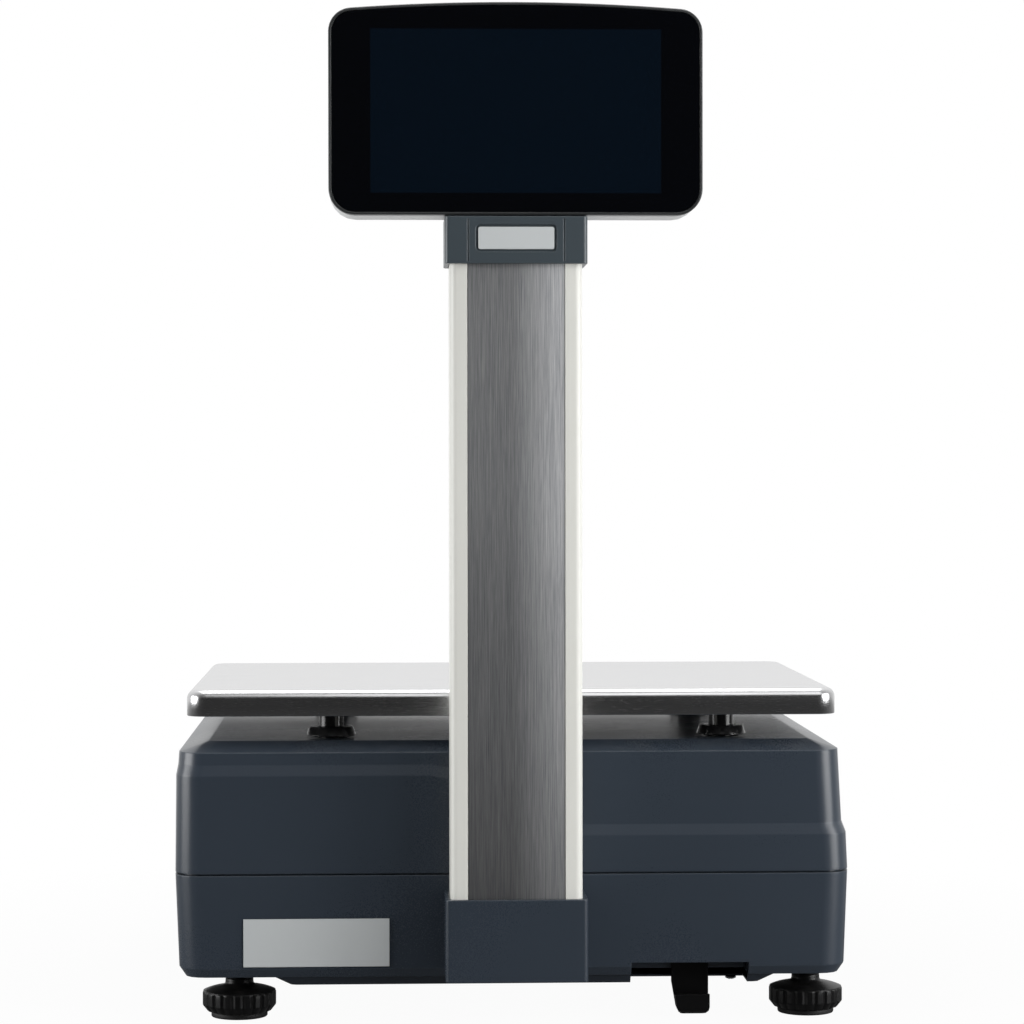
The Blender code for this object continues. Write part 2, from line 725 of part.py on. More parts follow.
def lower_housing(surface):
    """Moulded lower housing: a cup with a chamfered floor and a lip inside its rim."""
    def even(inset):
        """The same inset on all four sides."""
        return (inset, inset, REAR_SETBACK + max(0.0, inset - LOWER_DRAFT), inset)

    def inner(inset):
        """An inset of the inner wall."""
        return (inset, inset, inset, inset)

    floor = LOWER_DRAFT + FLOOR_CHAMFER_RUN
    lip_outer = WALL + RUN_GAP
    lip_inner = lip_outer + LIP_THICKNESS
    rings = [
        body_ring(even(floor), level(FLOOR_Z), BODY_CORNER - FLOOR_CHAMFER_RUN),
        body_ring(even(LOWER_DRAFT), level(FLOOR_Z + FLOOR_CHAMFER_RISE)),
        body_ring((0, 0, 0, 0), level(SEAM_Z)),
        body_ring(inner(lip_outer), level(SEAM_Z), BODY_CORNER - lip_outer),
        body_ring(inner(lip_outer), level(SEAM_Z + LIP_HEIGHT), BODY_CORNER - lip_outer),
        body_ring(inner(lip_inner), level(SEAM_Z + LIP_HEIGHT), BODY_CORNER - lip_inner),
        body_ring(inner(lip_inner), level(SEAM_Z - LIP_HEIGHT), BODY_CORNER - lip_inner),
        body_ring(inner(LOWER_DRAFT + WALL), level(SEAM_Z - 2 * LIP_HEIGHT), BODY_CORNER - WALL),
        body_ring(inner(LOWER_DRAFT + WALL), level(FLOOR_Z + FLOOR_CHAMFER_RISE), BODY_CORNER - WALL),
        body_ring(inner(floor + WALL), level(FLOOR_TOP_Z), BODY_CORNER - floor - WALL),
    ]
    return link("lower_housing", lofted(rings, SWEEP_POINTS), surface)


def upper_housing(surface):
    """Moulded upper housing: deck, sloping console and the shoulder that sweeps round the sides."""
    low = SHOULDER_LOW_INSET
    high = SHOULDER_HIGH_INSET
    line = CHAMFER_LINE_INSET
    deck = (
        line[0] + DECK_CHAMFER_RUN, line[1] + DECK_CHAMFER_RUN, line[2] + DECK_CHAMFER_RUN,
        line[3] + CONSOLE_CHAMFER_RUN,
    )

    def inside(inset):
        """An inset moved in by the wall."""
        return tuple(value + WALL for value in inset)

    def shoulder_top(x, y):
        """Height of the shoulder's upper edge."""
        return shoulder_height(x, y) + SHOULDER_RISE

    def line_height(x, y):
        """Height where the wall meets the chamfer."""
        return top_height(y) - DECK_CHAMFER_DROP

    def lowered(height):
        """A height lowered by the wall."""
        return lambda x, y: height(x, y) - WALL

    def deck_height(x, y):
        """Height of the top face."""
        return top_height(y)

    rim = level(SEAM_Z + SEAM_GAP)
    rings = [
        body_ring(inside(deck), lowered(deck_height), DECK_CORNER - WALL / 2),
        body_ring(inside(line), lowered(line_height), BODY_CORNER - WALL),
        body_ring(inside(high), shoulder_top, BODY_CORNER - WALL),
        body_ring(inside(low), shoulder_height, BODY_CORNER - WALL),
        body_ring(inside((0, 0, 0, 0)), rim, BODY_CORNER - WALL),
        body_ring((0, 0, 0, 0), rim),
        body_ring(low, shoulder_height),
        body_ring(high, shoulder_top),
        body_ring(line, line_height),
        body_ring(deck, deck_height, DECK_CORNER),
    ]
    return link("upper_housing", lofted(rings, SWEEP_POINTS), surface)


def foot_places():
    """Plan positions of the four feet with their names."""
    x = HALF_WIDTH - FOOT_INSET_X
    rear = REAR_Y + FOOT_INSET_Y
    front = FRONT_Y - FOOT_INSET_Y
    return {
        "rear_left": (FOOT_CENTRE_X - x, rear),
        "rear_right": (FOOT_CENTRE_X + x, rear),
        "front_left": (FOOT_CENTRE_X - x, front),
        "front_right": (FOOT_CENTRE_X + x, front),
    }


def knob_mesh():
    """Fluted levelling knob with its stem and stud in one moulding, bored below for the pad's pivot."""
    bottom = PAD_THICKNESS + SEAT_GAP
    bore = PAD_PIVOT_RADIUS + SEAT_GAP
    bore_top = PAD_THICKNESS + PAD_PIVOT_HEIGHT + SEAT_GAP
    shoulder = (KNOB_RADIUS + KNOB_STEM_RADIUS) / 2
    profile = [
        (0.0, STUD_TOP_Z),
        (STUD_RADIUS - STUD_TIP, STUD_TOP_Z),
        (STUD_RADIUS, STUD_TOP_Z - STUD_TIP),
        (STUD_RADIUS, KNOB_STEM_TOP_Z),
        (KNOB_STEM_RADIUS, KNOB_STEM_TOP_Z),
        (KNOB_STEM_RADIUS, KNOB_DOME_Z),
        (shoulder, (KNOB_DOME_Z + KNOB_RIM_TOP_Z) / 2 + SEAT_GAP),
        (KNOB_RADIUS, KNOB_RIM_TOP_Z),
        (KNOB_RADIUS, KNOB_RIM_BOTTOM_Z),
        (KNOB_RADIUS - (KNOB_RIM_BOTTOM_Z - bottom), bottom),
        (bore, bottom),
        (bore, bore_top),
        (0.0, bore_top),
    ]
    master = tool("knob_master", profile_mesh(profile, closed=False))
    turn(master, KNOB_FLUTES)
    flutes = bmesh.new()
    for index in range(KNOB_FLUTES):
        angle = 2 * math.pi * (index + 0.5) / KNOB_FLUTES
        added = bmesh.ops.create_cone(
            flutes, cap_ends=True, segments=5, radius1=KNOB_FLUTE_RADIUS,
            radius2=KNOB_FLUTE_RADIUS, depth=KNOB_DOME_Z,
        )
        place = (KNOB_RADIUS * math.cos(angle), KNOB_RADIUS * math.sin(angle), KNOB_RIM_TOP_Z)
        bmesh.ops.translate(flutes, vec=place, verts=added["verts"])
    mesh = bpy.data.meshes.new("flutes")
    flutes.to_mesh(mesh)
    flutes.free()
    cutter = tool("knob_flutes", mesh)
    cut(master, cutter)
    finished = baked(master)
    bpy.data.objects.remove(master)
    bpy.data.objects.remove(cutter)
    return finished


def feet(housing, plastic, rubber):
    """Four levelling feet: a knob that turns on a pad and screws into a boss of the housing."""
    mesh = knob_mesh()
    pivot_top = PAD_THICKNESS + PAD_PIVOT_HEIGHT
    pad = [
        (0.0, pivot_top),
        (PAD_PIVOT_RADIUS, pivot_top),
        (PAD_PIVOT_RADIUS, PAD_THICKNESS),
        (PAD_RADIUS - PAD_EDGE, PAD_THICKNESS),
        (PAD_RADIUS, PAD_THICKNESS - PAD_EDGE),
        (PAD_RADIUS, PAD_EDGE),
        (PAD_RADIUS - PAD_EDGE, 0.0),
        (0.0, 0.0),
    ]
    for name, (x, y) in foot_places().items():
        link("foot_knob_" + name, mesh, plastic, (x, y, 0))
        turned("foot_pad_" + name, pad, rubber, (x, y, 0))
        boss = tool("foot_boss_" + name, rod(FOOT_BOSS_RADIUS, FOOT_BOSS_TOP_Z - FLOOR_Z - FUSE_OVERLAP))
        boss.location = (x, y, (FOOT_BOSS_TOP_Z + FLOOR_Z + FUSE_OVERLAP) / 2)
        fuse(housing, boss)
        hole = tool("foot_hole_" + name, rod(STUD_BORE_RADIUS, FOOT_BOSS_TOP_Z))
        hole.location = (x, y, FOOT_BOSS_TOP_Z / 2 + FLOOR_Z - FUSE_OVERLAP)
        cut(housing, hole)


def base_pan(paint):
    """Dished pan of painted steel under the floor, cut away behind the cable outlet."""
    rear = REAR_Y + PAN_REAR_INSET
    front = FRONT_Y - PAN_FRONT_INSET
    top = FLOOR_Z - SEAT_GAP

    def pan_ring(inset, z):
        """A ring of the pan, its ends sloping inwards towards the bottom."""
        outline = plan_ring(
            PAN_LEFT_X - PAN_SLOPE_RUN + inset, PAN_RIGHT_X + PAN_SLOPE_RUN - inset,
            rear + inset / 3, front - inset / 3, PAN_CORNER, steps=2,
        )
        return [Vector((x, y, z)) for x, y in outline]

    rings = [
        pan_ring(PAN_SLOPE_RUN, PAN_BOTTOM_Z),
        pan_ring(0, top),
        pan_ring(PAN_THICKNESS * 1.5, top),
        pan_ring(PAN_SLOPE_RUN + PAN_THICKNESS, PAN_BOTTOM_Z + PAN_THICKNESS),
    ]
    pan = link("base_pan", lofted(rings), paint)
    outlet = block_tool("pan_outlet", (
        (NOTCH_LEFT_X, NOTCH_RIGHT_X), (REAR_Y - CUT_OVERSHOOT, NOTCH_INNER_Y + WELL_WALL), (0, FLOOR_Z),
    ))
    cut(pan, outlet)


def cable_outlet(housing, plastic, socket_plastic):
    """Well behind the cable outlet with its two sockets facing down, and the hook for the cord."""
    notch = block_tool("cable_notch", (
        (NOTCH_LEFT_X, NOTCH_RIGHT_X), (REAR_Y - CUT_OVERSHOOT, NOTCH_INNER_Y),
        (FLOOR_Z - CUT_OVERSHOOT, NOTCH_TOP_Z),
    ))
    cut(housing, notch)
    bottom = FLOOR_TOP_Z + SEAT_GAP
    rear = REAR_Y + LOWER_DRAFT + WALL + 2 * SEAT_GAP
    well_spans = (
        (NOTCH_LEFT_X - WELL_WALL, NOTCH_RIGHT_X + WELL_WALL),
        (rear, NOTCH_INNER_Y + WELL_WALL),
        (bottom, WELL_TOP_Z),
    )
    well = block_piece("cable_well", well_spans, plastic)
    hollow = block_tool("well_hollow", (
        (NOTCH_LEFT_X, NOTCH_RIGHT_X), (rear + WELL_WALL, NOTCH_INNER_Y),
        (bottom - CUT_OVERSHOOT, WELL_TOP_Z - WELL_WALL),
    ))
    gate = block_tool("well_gate", (
        (NOTCH_LEFT_X, NOTCH_RIGHT_X), (REAR_Y, NOTCH_INNER_Y), (bottom - CUT_OVERSHOOT, NOTCH_TOP_Z),
    ))
    relief = block_tool("well_relief", (
        (NOTCH_LEFT_X - 2 * WELL_WALL, NOTCH_RIGHT_X + 2 * WELL_WALL),
        (REAR_Y, REAR_Y + LOWER_DRAFT + FLOOR_CHAMFER_RUN + WALL + SEAT_GAP),
        (bottom - CUT_OVERSHOOT, FLOOR_Z + FLOOR_CHAMFER_RISE + SEAT_GAP),
    ))
    cut(well, hollow, gate, relief)
    middle_y = (rear + WELL_WALL + NOTCH_INNER_Y) / 2
    ceiling = WELL_TOP_Z - WELL_WALL
    third = (NOTCH_RIGHT_X - NOTCH_LEFT_X) / 4
    for name, x, width, depth, height in (
        ("mains_inlet", NOTCH_LEFT_X + third, INLET_WIDTH, INLET_DEPTH, INLET_HEIGHT),
        ("network_socket", NOTCH_RIGHT_X - third, SOCKET_WIDTH, SOCKET_DEPTH, SOCKET_HEIGHT),
    ):
        port = block_piece(name, (
            (x - width / 2, x + width / 2), (middle_y - depth / 2, middle_y + depth / 2),
            (ceiling - SEAT_GAP - height, ceiling - SEAT_GAP),
        ), socket_plastic)
        mouth = block_tool(name + "_mouth", (
            (x - width / 2 + PORT_WALL, x + width / 2 - PORT_WALL),
            (middle_y - depth / 2 + PORT_WALL, middle_y + depth / 2 - PORT_WALL),
            (ceiling - height - CUT_OVERSHOOT, ceiling - PORT_WALL),
        ))
        cut(port, mouth)
    face = NOTCH_INNER_Y - SEAT_GAP
    profile = rounded([
        (face, HOOK_TOP_Z, 0),
        (face - HOOK_THICKNESS, HOOK_TOP_Z, 0),
        (face - HOOK_THICKNESS, HOOK_BOTTOM_Z + HOOK_THICKNESS, HOOK_THROAT_RADIUS),
        (face - HOOK_REACH + HOOK_THICKNESS, HOOK_BOTTOM_Z + HOOK_THICKNESS, HOOK_THROAT_RADIUS),
        (face - HOOK_REACH + HOOK_THICKNESS, HOOK_BOTTOM_Z + HOOK_LIP, 0),
        (face - HOOK_REACH, HOOK_BOTTOM_Z + HOOK_LIP, 0),
        (face - HOOK_REACH, HOOK_BOTTOM_Z, HOOK_BEND_RADIUS),
        (face, HOOK_BOTTOM_Z, HOOK_BEND_RADIUS),
    ], steps=3)
    hook = link(
        "cord_hook", extruded([profile], HOOK_WIDTH), plastic, (HOOK_CENTRE_X, 0, 0),
        (math.radians(90), 0, math.radians(90)),
    )
    half_hook = HOOK_WIDTH / 2
    front_view = rounded([
        (-half_hook + HOOK_TAPER, HOOK_BOTTOM_Z, HOOK_CORNER), (half_hook, HOOK_BOTTOM_Z, HOOK_CORNER),
        (half_hook, HOOK_TOP_Z, 0), (-half_hook, HOOK_TOP_Z, 0), (-half_hook, HOOK_TAPER_Z, 0),
    ])
    outline = tool("hook_outline", extruded([front_view], 4 * HOOK_REACH), rotation=(math.radians(90), 0, 0))
    outline.location = (HOOK_CENTRE_X, face, 0)
    combine(hook, [outline], "INTERSECT")


def weighing_chain(deck, aluminium, black_metal, platter_steel):
    """Chassis plate, load cell between two spacers, spider, posts and the platter."""
    x = WEIGHING_CENTRE_X
    half_cell = CELL_LENGTH / 2
    half_width = CELL_WIDTH / 2
    block_piece("chassis_plate", (
        (x - CHASSIS_WIDTH / 2, x + CHASSIS_WIDTH / 2),
        (PLATTER_Y - CHASSIS_DEPTH / 2, PLATTER_Y + CHASSIS_DEPTH / 2),
        (CHASSIS_Z, CHASSIS_Z + CHASSIS_THICKNESS),
    ), aluminium)
    block_piece("cell_spacer_lower", (
        (x - half_cell, x - half_cell + SPACER_LENGTH),
        (PLATTER_Y - half_width, PLATTER_Y + half_width),
        (SPACER_LOWER_Z, SPACER_LOWER_Z + SPACER_LOWER_HEIGHT),
    ), aluminium)
    cell = block_piece("load_cell", (
        (x - half_cell, x + half_cell), (PLATTER_Y - half_width, PLATTER_Y + half_width),
        (CELL_Z, CELL_Z + CELL_HEIGHT),
    ), aluminium)
    middle = (CELL_Z + CELL_Z + CELL_HEIGHT) / 2
    across = (math.radians(90), 0, 0)
    slot = block_tool("cell_slot", (
        (x - CELL_EYE_SPACING / 2, x + CELL_EYE_SPACING / 2),
        (PLATTER_Y - CELL_WIDTH, PLATTER_Y + CELL_WIDTH),
        (middle - CELL_SLOT / 2, middle + CELL_SLOT / 2),
    ))
    for side in (-1, 1):
        eye = tool("cell_eye", rod(CELL_EYE_RADIUS, 2 * CELL_WIDTH, 16), rotation=across)
        eye.location = (x + side * CELL_EYE_SPACING / 2, PLATTER_Y, middle)
        cut(cell, eye)
    cut(cell, slot)
    block_piece("cell_spacer_upper", (
        (x + half_cell - SPACER_LENGTH, x + half_cell),
        (PLATTER_Y - half_width, PLATTER_Y + half_width),
        (SPACER_UPPER_Z, SPACER_UPPER_Z + SPACER_UPPER_HEIGHT),
    ), aluminium)
    spider_plate(aluminium)
    support_posts(deck, black_metal)
    platter(platter_steel)


def support_posts(deck, black_metal):
    """Four turned posts through the deck, each with a drip collar and a head for the platter."""
    collar_bottom = DECK_Z + POST_COLLAR_LIFT
    collar_top = collar_bottom + POST_COLLAR_HEIGHT
    profile = [
        (0.0, POST_TOP_Z),
        (POST_HEAD_RADIUS - POST_EDGE, POST_TOP_Z),
        (POST_HEAD_RADIUS, POST_TOP_Z - POST_EDGE),
        (POST_HEAD_RADIUS, POST_TOP_Z - POST_HEAD_HEIGHT),
        (POST_RADIUS, POST_TOP_Z - POST_HEAD_HEIGHT - POST_EDGE),
        (POST_RADIUS, collar_top),
        (POST_COLLAR_TOP_RADIUS - POST_EDGE, collar_top),
        (POST_COLLAR_TOP_RADIUS, collar_top - POST_EDGE / 2),
        (POST_COLLAR_RADIUS, collar_bottom),
        (POST_RADIUS, collar_bottom),
        (POST_RADIUS, POST_BOTTOM_Z),
        (0.0, POST_BOTTOM_Z),
    ]
    left = WEIGHING_CENTRE_X - POST_SPAN_X / 2
    right = WEIGHING_CENTRE_X + POST_SPAN_X / 2
    for side, x in (("left", left), ("right", right)):
        for end, y in (("rear", PLATTER_Y - POST_SPAN_Y / 2), ("front", PLATTER_Y + POST_SPAN_Y / 2)):
            turned(f"support_post_{end}_{side}", profile, black_metal, (x, y, 0), steps=16)
            hole = tool(f"post_hole_{end}_{side}", rod(POST_HOLE_RADIUS, POST_HOLE_REACH))
            hole.location = (x, y, DECK_Z)
            cut(deck, hole)


def spider_plate(aluminium):
    """H-shaped casting that spreads the load cell's end to the four posts."""
    outer = POST_SPAN_X / 2 + SPIDER_ARM / 2
    inner = POST_SPAN_X / 2 - SPIDER_ARM / 2
    end = POST_SPAN_Y / 2 + SPIDER_ARM / 2
    bridge = SPIDER_BRIDGE / 2
    round_end = SPIDER_ARM / 3
    fillet = SPIDER_ARM / 2
    quarter = [
        (outer, end, round_end), (inner, end, round_end), (inner, bridge, fillet),
    ]
    corners = list(quarter)
    corners += [(-x, y, radius) for x, y, radius in reversed(quarter)]
    corners += [(-x, -y, radius) for x, y, radius in quarter]
    corners += [(x, -y, radius) for x, y, radius in reversed(quarter)]
    window = rectangle(POST_SPAN_X / 4, SPIDER_BRIDGE / 2, SPIDER_WINDOW_RADIUS, (-POST_SPAN_X / 5, 0))
    link(
        "spider", extruded([rounded(corners), window], SPIDER_THICKNESS), aluminium,
        (WEIGHING_CENTRE_X, PLATTER_Y, SPIDER_Z + SPIDER_THICKNESS / 2),
    )


def platter(steel):
    """Pressed tray with a rolled edge and a skirt all round."""
    def tray_ring(inset, z):
        """A ring of the tray in plan."""
        outline = plan_ring(
            -PLATTER_WIDTH / 2 + inset, PLATTER_WIDTH / 2 - inset,
            PLATTER_Y - PLATTER_DEPTH / 2 + inset, PLATTER_Y + PLATTER_DEPTH / 2 - inset,
            PLATTER_CORNER - inset,
        )
        return [Vector((x, y, z)) for x, y in outline]

    def edge(radius, inset, z):
        """The rolled edge as an arc from the skirt to the top, round a centre set by its ends."""
        angles = [math.radians(90 * step / 4) for step in range(5)]
        return [
            tray_ring(inset + radius * (1 - math.cos(angle)), z - radius * (1 - math.sin(angle)))
            for angle in angles
        ]

    inner_edge = edge(PLATTER_EDGE_RADIUS - PLATTER_SHEET, PLATTER_SHEET, PLATTER_UNDERSIDE_Z)
    outer_edge = edge(PLATTER_EDGE_RADIUS, 0.0, PLATTER_TOP_Z)
    rings = inner_edge[::-1]
    rings.append(tray_ring(PLATTER_SHEET, PLATTER_SKIRT_Z))
    rings.append(tray_ring(0.0, PLATTER_SKIRT_Z))
    rings += outer_edge
    link("platter", lofted(rings), steel)


def cell_bolts(steel):
    """Two bolts through the spider and its spacer into the load cell's live end."""
    x = WEIGHING_CENTRE_X + CELL_LENGTH / 2 - CELL_BOLT_INSET
    spider_top = SPIDER_Z + SPIDER_THICKNESS
    shank = CELL_BOLT_DEPTH + SPIDER_THICKNESS + SPACER_UPPER_HEIGHT
    profile = [
        (0.0, CELL_BOLT_HEAD), (CELL_BOLT_HEAD_RADIUS, CELL_BOLT_HEAD), (CELL_BOLT_HEAD_RADIUS, 0.0),
        (CELL_BOLT_RADIUS, 0.0), (CELL_BOLT_RADIUS, -shank), (0.0, -shank),
    ]
    for end, y in (("rear", PLATTER_Y - CELL_BOLT_SPAN / 2), ("front", PLATTER_Y + CELL_BOLT_SPAN / 2)):
        turned("cell_bolt_" + end, profile, steel, (x, y, spider_top + SEAT_GAP), steps=12)
        hole = tool("cell_bolt_hole_" + end, rod(CELL_BOLT_RADIUS + SEAT_GAP, 2 * (shank + SEAT_GAP), 12))
        hole.location = (x, y, spider_top)
        for name in ("spider", "cell_spacer_upper", "load_cell"):
            cut(bpy.data.objects[name], hole)


def console_frame():
    """The sloping console: local Y runs down the slope and local Z stands off it."""
    return frame_at("console_slope", (0, CONSOLE_Y, DECK_Z), (-CONSOLE_ANGLE, 0, 0))


def printer(deck, slope, sheet, plastic, rubber, paper, steel):
    """Drop-in label printer: side plates, roll on its spindle, platen, print head, tear bar and lid."""
    left = PRINTER_LEFT_X
    right = PRINTER_RIGHT_X
    front = FRONT_Y - PRINTER_FRONT_Y_INSET
    rear = CONSOLE_Y + PRINTER_REAR_SETBACK
    bottom = FLOOR_TOP_Z + SEAT_GAP
    depth_down = PRINTER_TOP_DEPTH / math.cos(CONSOLE_ANGLE)
    rear_top = top_height(rear) - depth_down
    front_top = top_height(front) - depth_down
    side = [(rear, bottom), (front, bottom), (front, front_top), (rear, rear_top)]
    upright = (math.radians(90), 0, math.radians(90))
    frame = link("printer_frame", extruded([side], right - left), sheet, ((left + right) / 2, 0, 0), upright)
    inner_x = (left + PRINTER_SHEET, right - PRINTER_SHEET)
    above = block_tool("printer_hollow", (
        inner_x, (rear - CUT_OVERSHOOT, front + CUT_OVERSHOOT),
        (PRINTER_FLOOR_Z + PRINTER_SHEET, DECK_Z + CUT_OVERSHOOT),
    ))
    below = block_tool("printer_underside", (
        inner_x, (rear - CUT_OVERSHOOT, front + CUT_OVERSHOOT), (0, PRINTER_FLOOR_Z),
    ))
    across = (0, math.radians(90), 0)
    span = right - left
    middle = (left + right) / 2
    spindle_hole = tool("spindle_hole", rod(SPINDLE_END_RADIUS + SEAT_GAP, 2 * span, 16), rotation=across)
    spindle_hole.location = (middle, ROLL_Y, ROLL_CENTRE_Z)
    spindle_slot = block_tool("spindle_slot", (
        (left - span, right + span),
        (ROLL_Y - SPINDLE_END_RADIUS - SEAT_GAP, ROLL_Y + SPINDLE_END_RADIUS + SEAT_GAP),
        (ROLL_CENTRE_Z, DECK_Z),
    ))
    platen_hole = tool("platen_hole", rod(PLATEN_SHAFT_RADIUS + SEAT_GAP, 2 * span, 16), rotation=across)
    platen_hole.location = (middle, PLATEN_Y, PLATEN_Z)
    pin_hole = tool(
        "pin_hole", rod(LID_PIN_RADIUS + SEAT_GAP, 2 * span, 16),
        (middle, LID_AXIS_ALONG, -LID_AXIS_DEPTH), across, slope,
    )
    foot_x, foot_y = foot_places()["front_left"]
    foot_relief = tool("foot_relief", rod(FOOT_BOSS_RADIUS + RUN_GAP, 2 * FOOT_BOSS_TOP_Z + 2 * RUN_GAP))
    foot_relief.location = (foot_x, foot_y, 0)
    cut(frame, above, below, spindle_hole, spindle_slot, platen_hole, pin_hole, foot_relief)

    reach = span / 2 - SEAT_GAP
    half_roll = ROLL_WIDTH / 2
    turned("label_roll", [
        (ROLL_RADIUS, half_roll), (ROLL_RADIUS, -half_roll),
        (ROLL_BORE_RADIUS, -half_roll), (ROLL_BORE_RADIUS, half_roll),
    ], paper, (middle, ROLL_Y, ROLL_CENTRE_Z), rotation=across, steps=24, closed=True)
    flange = ROLL_BORE_RADIUS + SPINDLE_FLANGE_RISE
    turned("roll_spindle", [
        (0.0, reach), (SPINDLE_END_RADIUS, reach), (SPINDLE_END_RADIUS, half_roll + SPINDLE_FLANGE_END),
        (flange, half_roll + SPINDLE_FLANGE_END), (flange, half_roll + SEAT_GAP),
        (SPINDLE_HUB_RADIUS, half_roll + SEAT_GAP), (SPINDLE_HUB_RADIUS, -half_roll - SPINDLE_FLANGE_END),
        (SPINDLE_END_RADIUS, -half_roll - SPINDLE_FLANGE_END), (SPINDLE_END_RADIUS, -reach), (0.0, -reach),
    ], plastic, (middle, ROLL_Y, ROLL_CENTRE_Z), rotation=across)
    half_platen = PLATEN_WIDTH / 2
    turned("platen_roller", [
        (0.0, reach), (PLATEN_SHAFT_RADIUS, reach), (PLATEN_SHAFT_RADIUS, half_platen),
        (PLATEN_RADIUS, half_platen), (PLATEN_RADIUS, -half_platen),
        (PLATEN_SHAFT_RADIUS, -half_platen), (PLATEN_SHAFT_RADIUS, -reach), (0.0, -reach),
    ], rubber, (middle, PLATEN_Y, PLATEN_Z), rotation=across)
    seat_x = (inner_x[0] + SEAT_GAP, inner_x[1] - SEAT_GAP)
    head_y = PLATEN_Y - PLATEN_RADIUS / 2
    block_piece("print_head", (
        seat_x, (head_y - PRINT_HEAD_LENGTH, head_y), (PRINT_HEAD_Z, PRINT_HEAD_Z + PRINT_HEAD_THICKNESS),
    ), plastic)
    bar_y = FRONT_Y - TEAR_BAR_Y_FROM_FRONT
    block_piece("tear_bar", (
        seat_x, (bar_y - TEAR_BAR_THICKNESS, bar_y), (TEAR_BAR_BOTTOM_Z, TEAR_BAR_TOP_Z),
    ), steel)

    opening = block_tool("lid_opening", (
        (LID_OPENING_LEFT_X, LID_OPENING_RIGHT_X), (LID_OPENING_START, LID_OPENING_END),
        (-LID_OPENING_REACH, CUT_OVERSHOOT),
    ), slope)
    cut(deck, opening)
    axis = frame_at("lid_axis", (PRINTER_X, LID_AXIS_ALONG, -LID_AXIS_DEPTH), parent=slope)
    half_lid = (LID_OPENING_RIGHT_X - LID_OPENING_LEFT_X) / 2 - RUN_GAP
    lid_top = LID_AXIS_DEPTH - LID_RECESS
    lid_end = LID_END - LID_AXIS_ALONG
    lid = block_piece("printer_lid", (
        (-half_lid, half_lid), (0, lid_end), (lid_top - LID_THICKNESS, lid_top),
    ), plastic, axis)
    barrel = tool("lid_barrel", rod(LID_BARREL_RADIUS, 2 * half_lid), rotation=across, parent=axis)
    fuse(lid, barrel)
    bore = tool("lid_bore", rod(LID_PIN_RADIUS + SEAT_GAP, span, 16), rotation=across, parent=axis)
    grip = block_tool("lid_grip", (
        (-LID_GRIP_WIDTH / 2, LID_GRIP_WIDTH / 2),
        (lid_end - LID_GRIP_FROM_END - LID_GRIP_LENGTH, lid_end - LID_GRIP_FROM_END),
        (lid_top - LID_GRIP_DEPTH, lid_top + LID_GRIP_DEPTH),
    ), axis)
    cut(lid, bore, grip)
    pin_middle = (middle, LID_AXIS_ALONG, -LID_AXIS_DEPTH)
    link("lid_hinge_pin", rod(LID_PIN_RADIUS, span - 2 * SEAT_GAP, 16), steel, pin_middle, across, slope)


def console(deck, slope, overlay_surface, board_surface):
    """Keypad: a membrane in a shallow recess, with its board under the wall."""
    recess = block_tool("keypad_recess", (
        (KEYPAD_LEFT_X - SEAT_GAP, KEYPAD_RIGHT_X + SEAT_GAP),
        (KEYPAD_START - SEAT_GAP, KEYPAD_END + SEAT_GAP),
        (-KEYPAD_THICKNESS - SEAT_GAP, CUT_OVERSHOOT),
    ), slope)
    cut(deck, recess)
    block_piece("keypad_overlay", (
        (KEYPAD_LEFT_X, KEYPAD_RIGHT_X), (KEYPAD_START, KEYPAD_END), (-KEYPAD_THICKNESS, 0.0),
    ), overlay_surface, slope)
    top = -WALL - SEAT_GAP
    block_piece("keypad_board", (
        (KEYPAD_LEFT_X + KEYPAD_BOARD_MARGIN, KEYPAD_RIGHT_X - KEYPAD_BOARD_MARGIN),
        (KEYPAD_START + KEYPAD_BOARD_MARGIN, KEYPAD_END - 3 * KEYPAD_BOARD_MARGIN),
        (top - BOARD_THICKNESS, top),
    ), board_surface, slope)


def electronics(housing, board_surface, sheet):
    """Main board on its posts and the power supply on the floor."""
    board_y = (CONSOLE_Y + FRONT_Y) / 2
    x_span = (MAIN_BOARD_CENTRE_X - MAIN_BOARD_WIDTH / 2, MAIN_BOARD_CENTRE_X + MAIN_BOARD_WIDTH / 2)
    y_span = (board_y - MAIN_BOARD_DEPTH / 2, board_y + MAIN_BOARD_DEPTH / 2)
    board_top = MAIN_BOARD_Z + BOARD_THICKNESS
    board = block_piece("main_board", (x_span, y_span, (MAIN_BOARD_Z, board_top)), board_surface)
    for left, rear, width, depth, height in MAIN_BOARD_PARTS:
        x = x_span[0] + left
        y = y_span[0] + rear
        fuse(board, block_tool("board_part", (
            (x, x + width), (y, y + depth), (board_top - BOARD_THICKNESS / 2, board_top + height),
        )))
    inset = 2 * BOARD_POST_RADIUS
    bottom = FLOOR_TOP_Z - FLOOR_THICKNESS / 2
    posts = tool("board_posts", rod(BOARD_POST_RADIUS, MAIN_BOARD_Z - SEAT_GAP - bottom, 12))
    posts.location = (x_span[0] + inset, y_span[0] + inset, (MAIN_BOARD_Z - SEAT_GAP + bottom) / 2)
    repeat(posts, 2, (MAIN_BOARD_WIDTH - 2 * inset, 0, 0))
    repeat(posts, 2, (0, MAIN_BOARD_DEPTH - 2 * inset, 0))
    fuse(housing, posts)
    supply_bottom = FLOOR_TOP_Z + SEAT_GAP
    supply = block_piece("power_supply", (
        (SUPPLY_LEFT_X, SUPPLY_RIGHT_X),
        (PLATTER_Y - SUPPLY_DEPTH / 2, PLATTER_Y + SUPPLY_DEPTH / 2),
        (supply_bottom, supply_bottom + SUPPLY_HEIGHT),
    ), sheet)
    bevel(supply, SUPPLY_EDGE, 1)


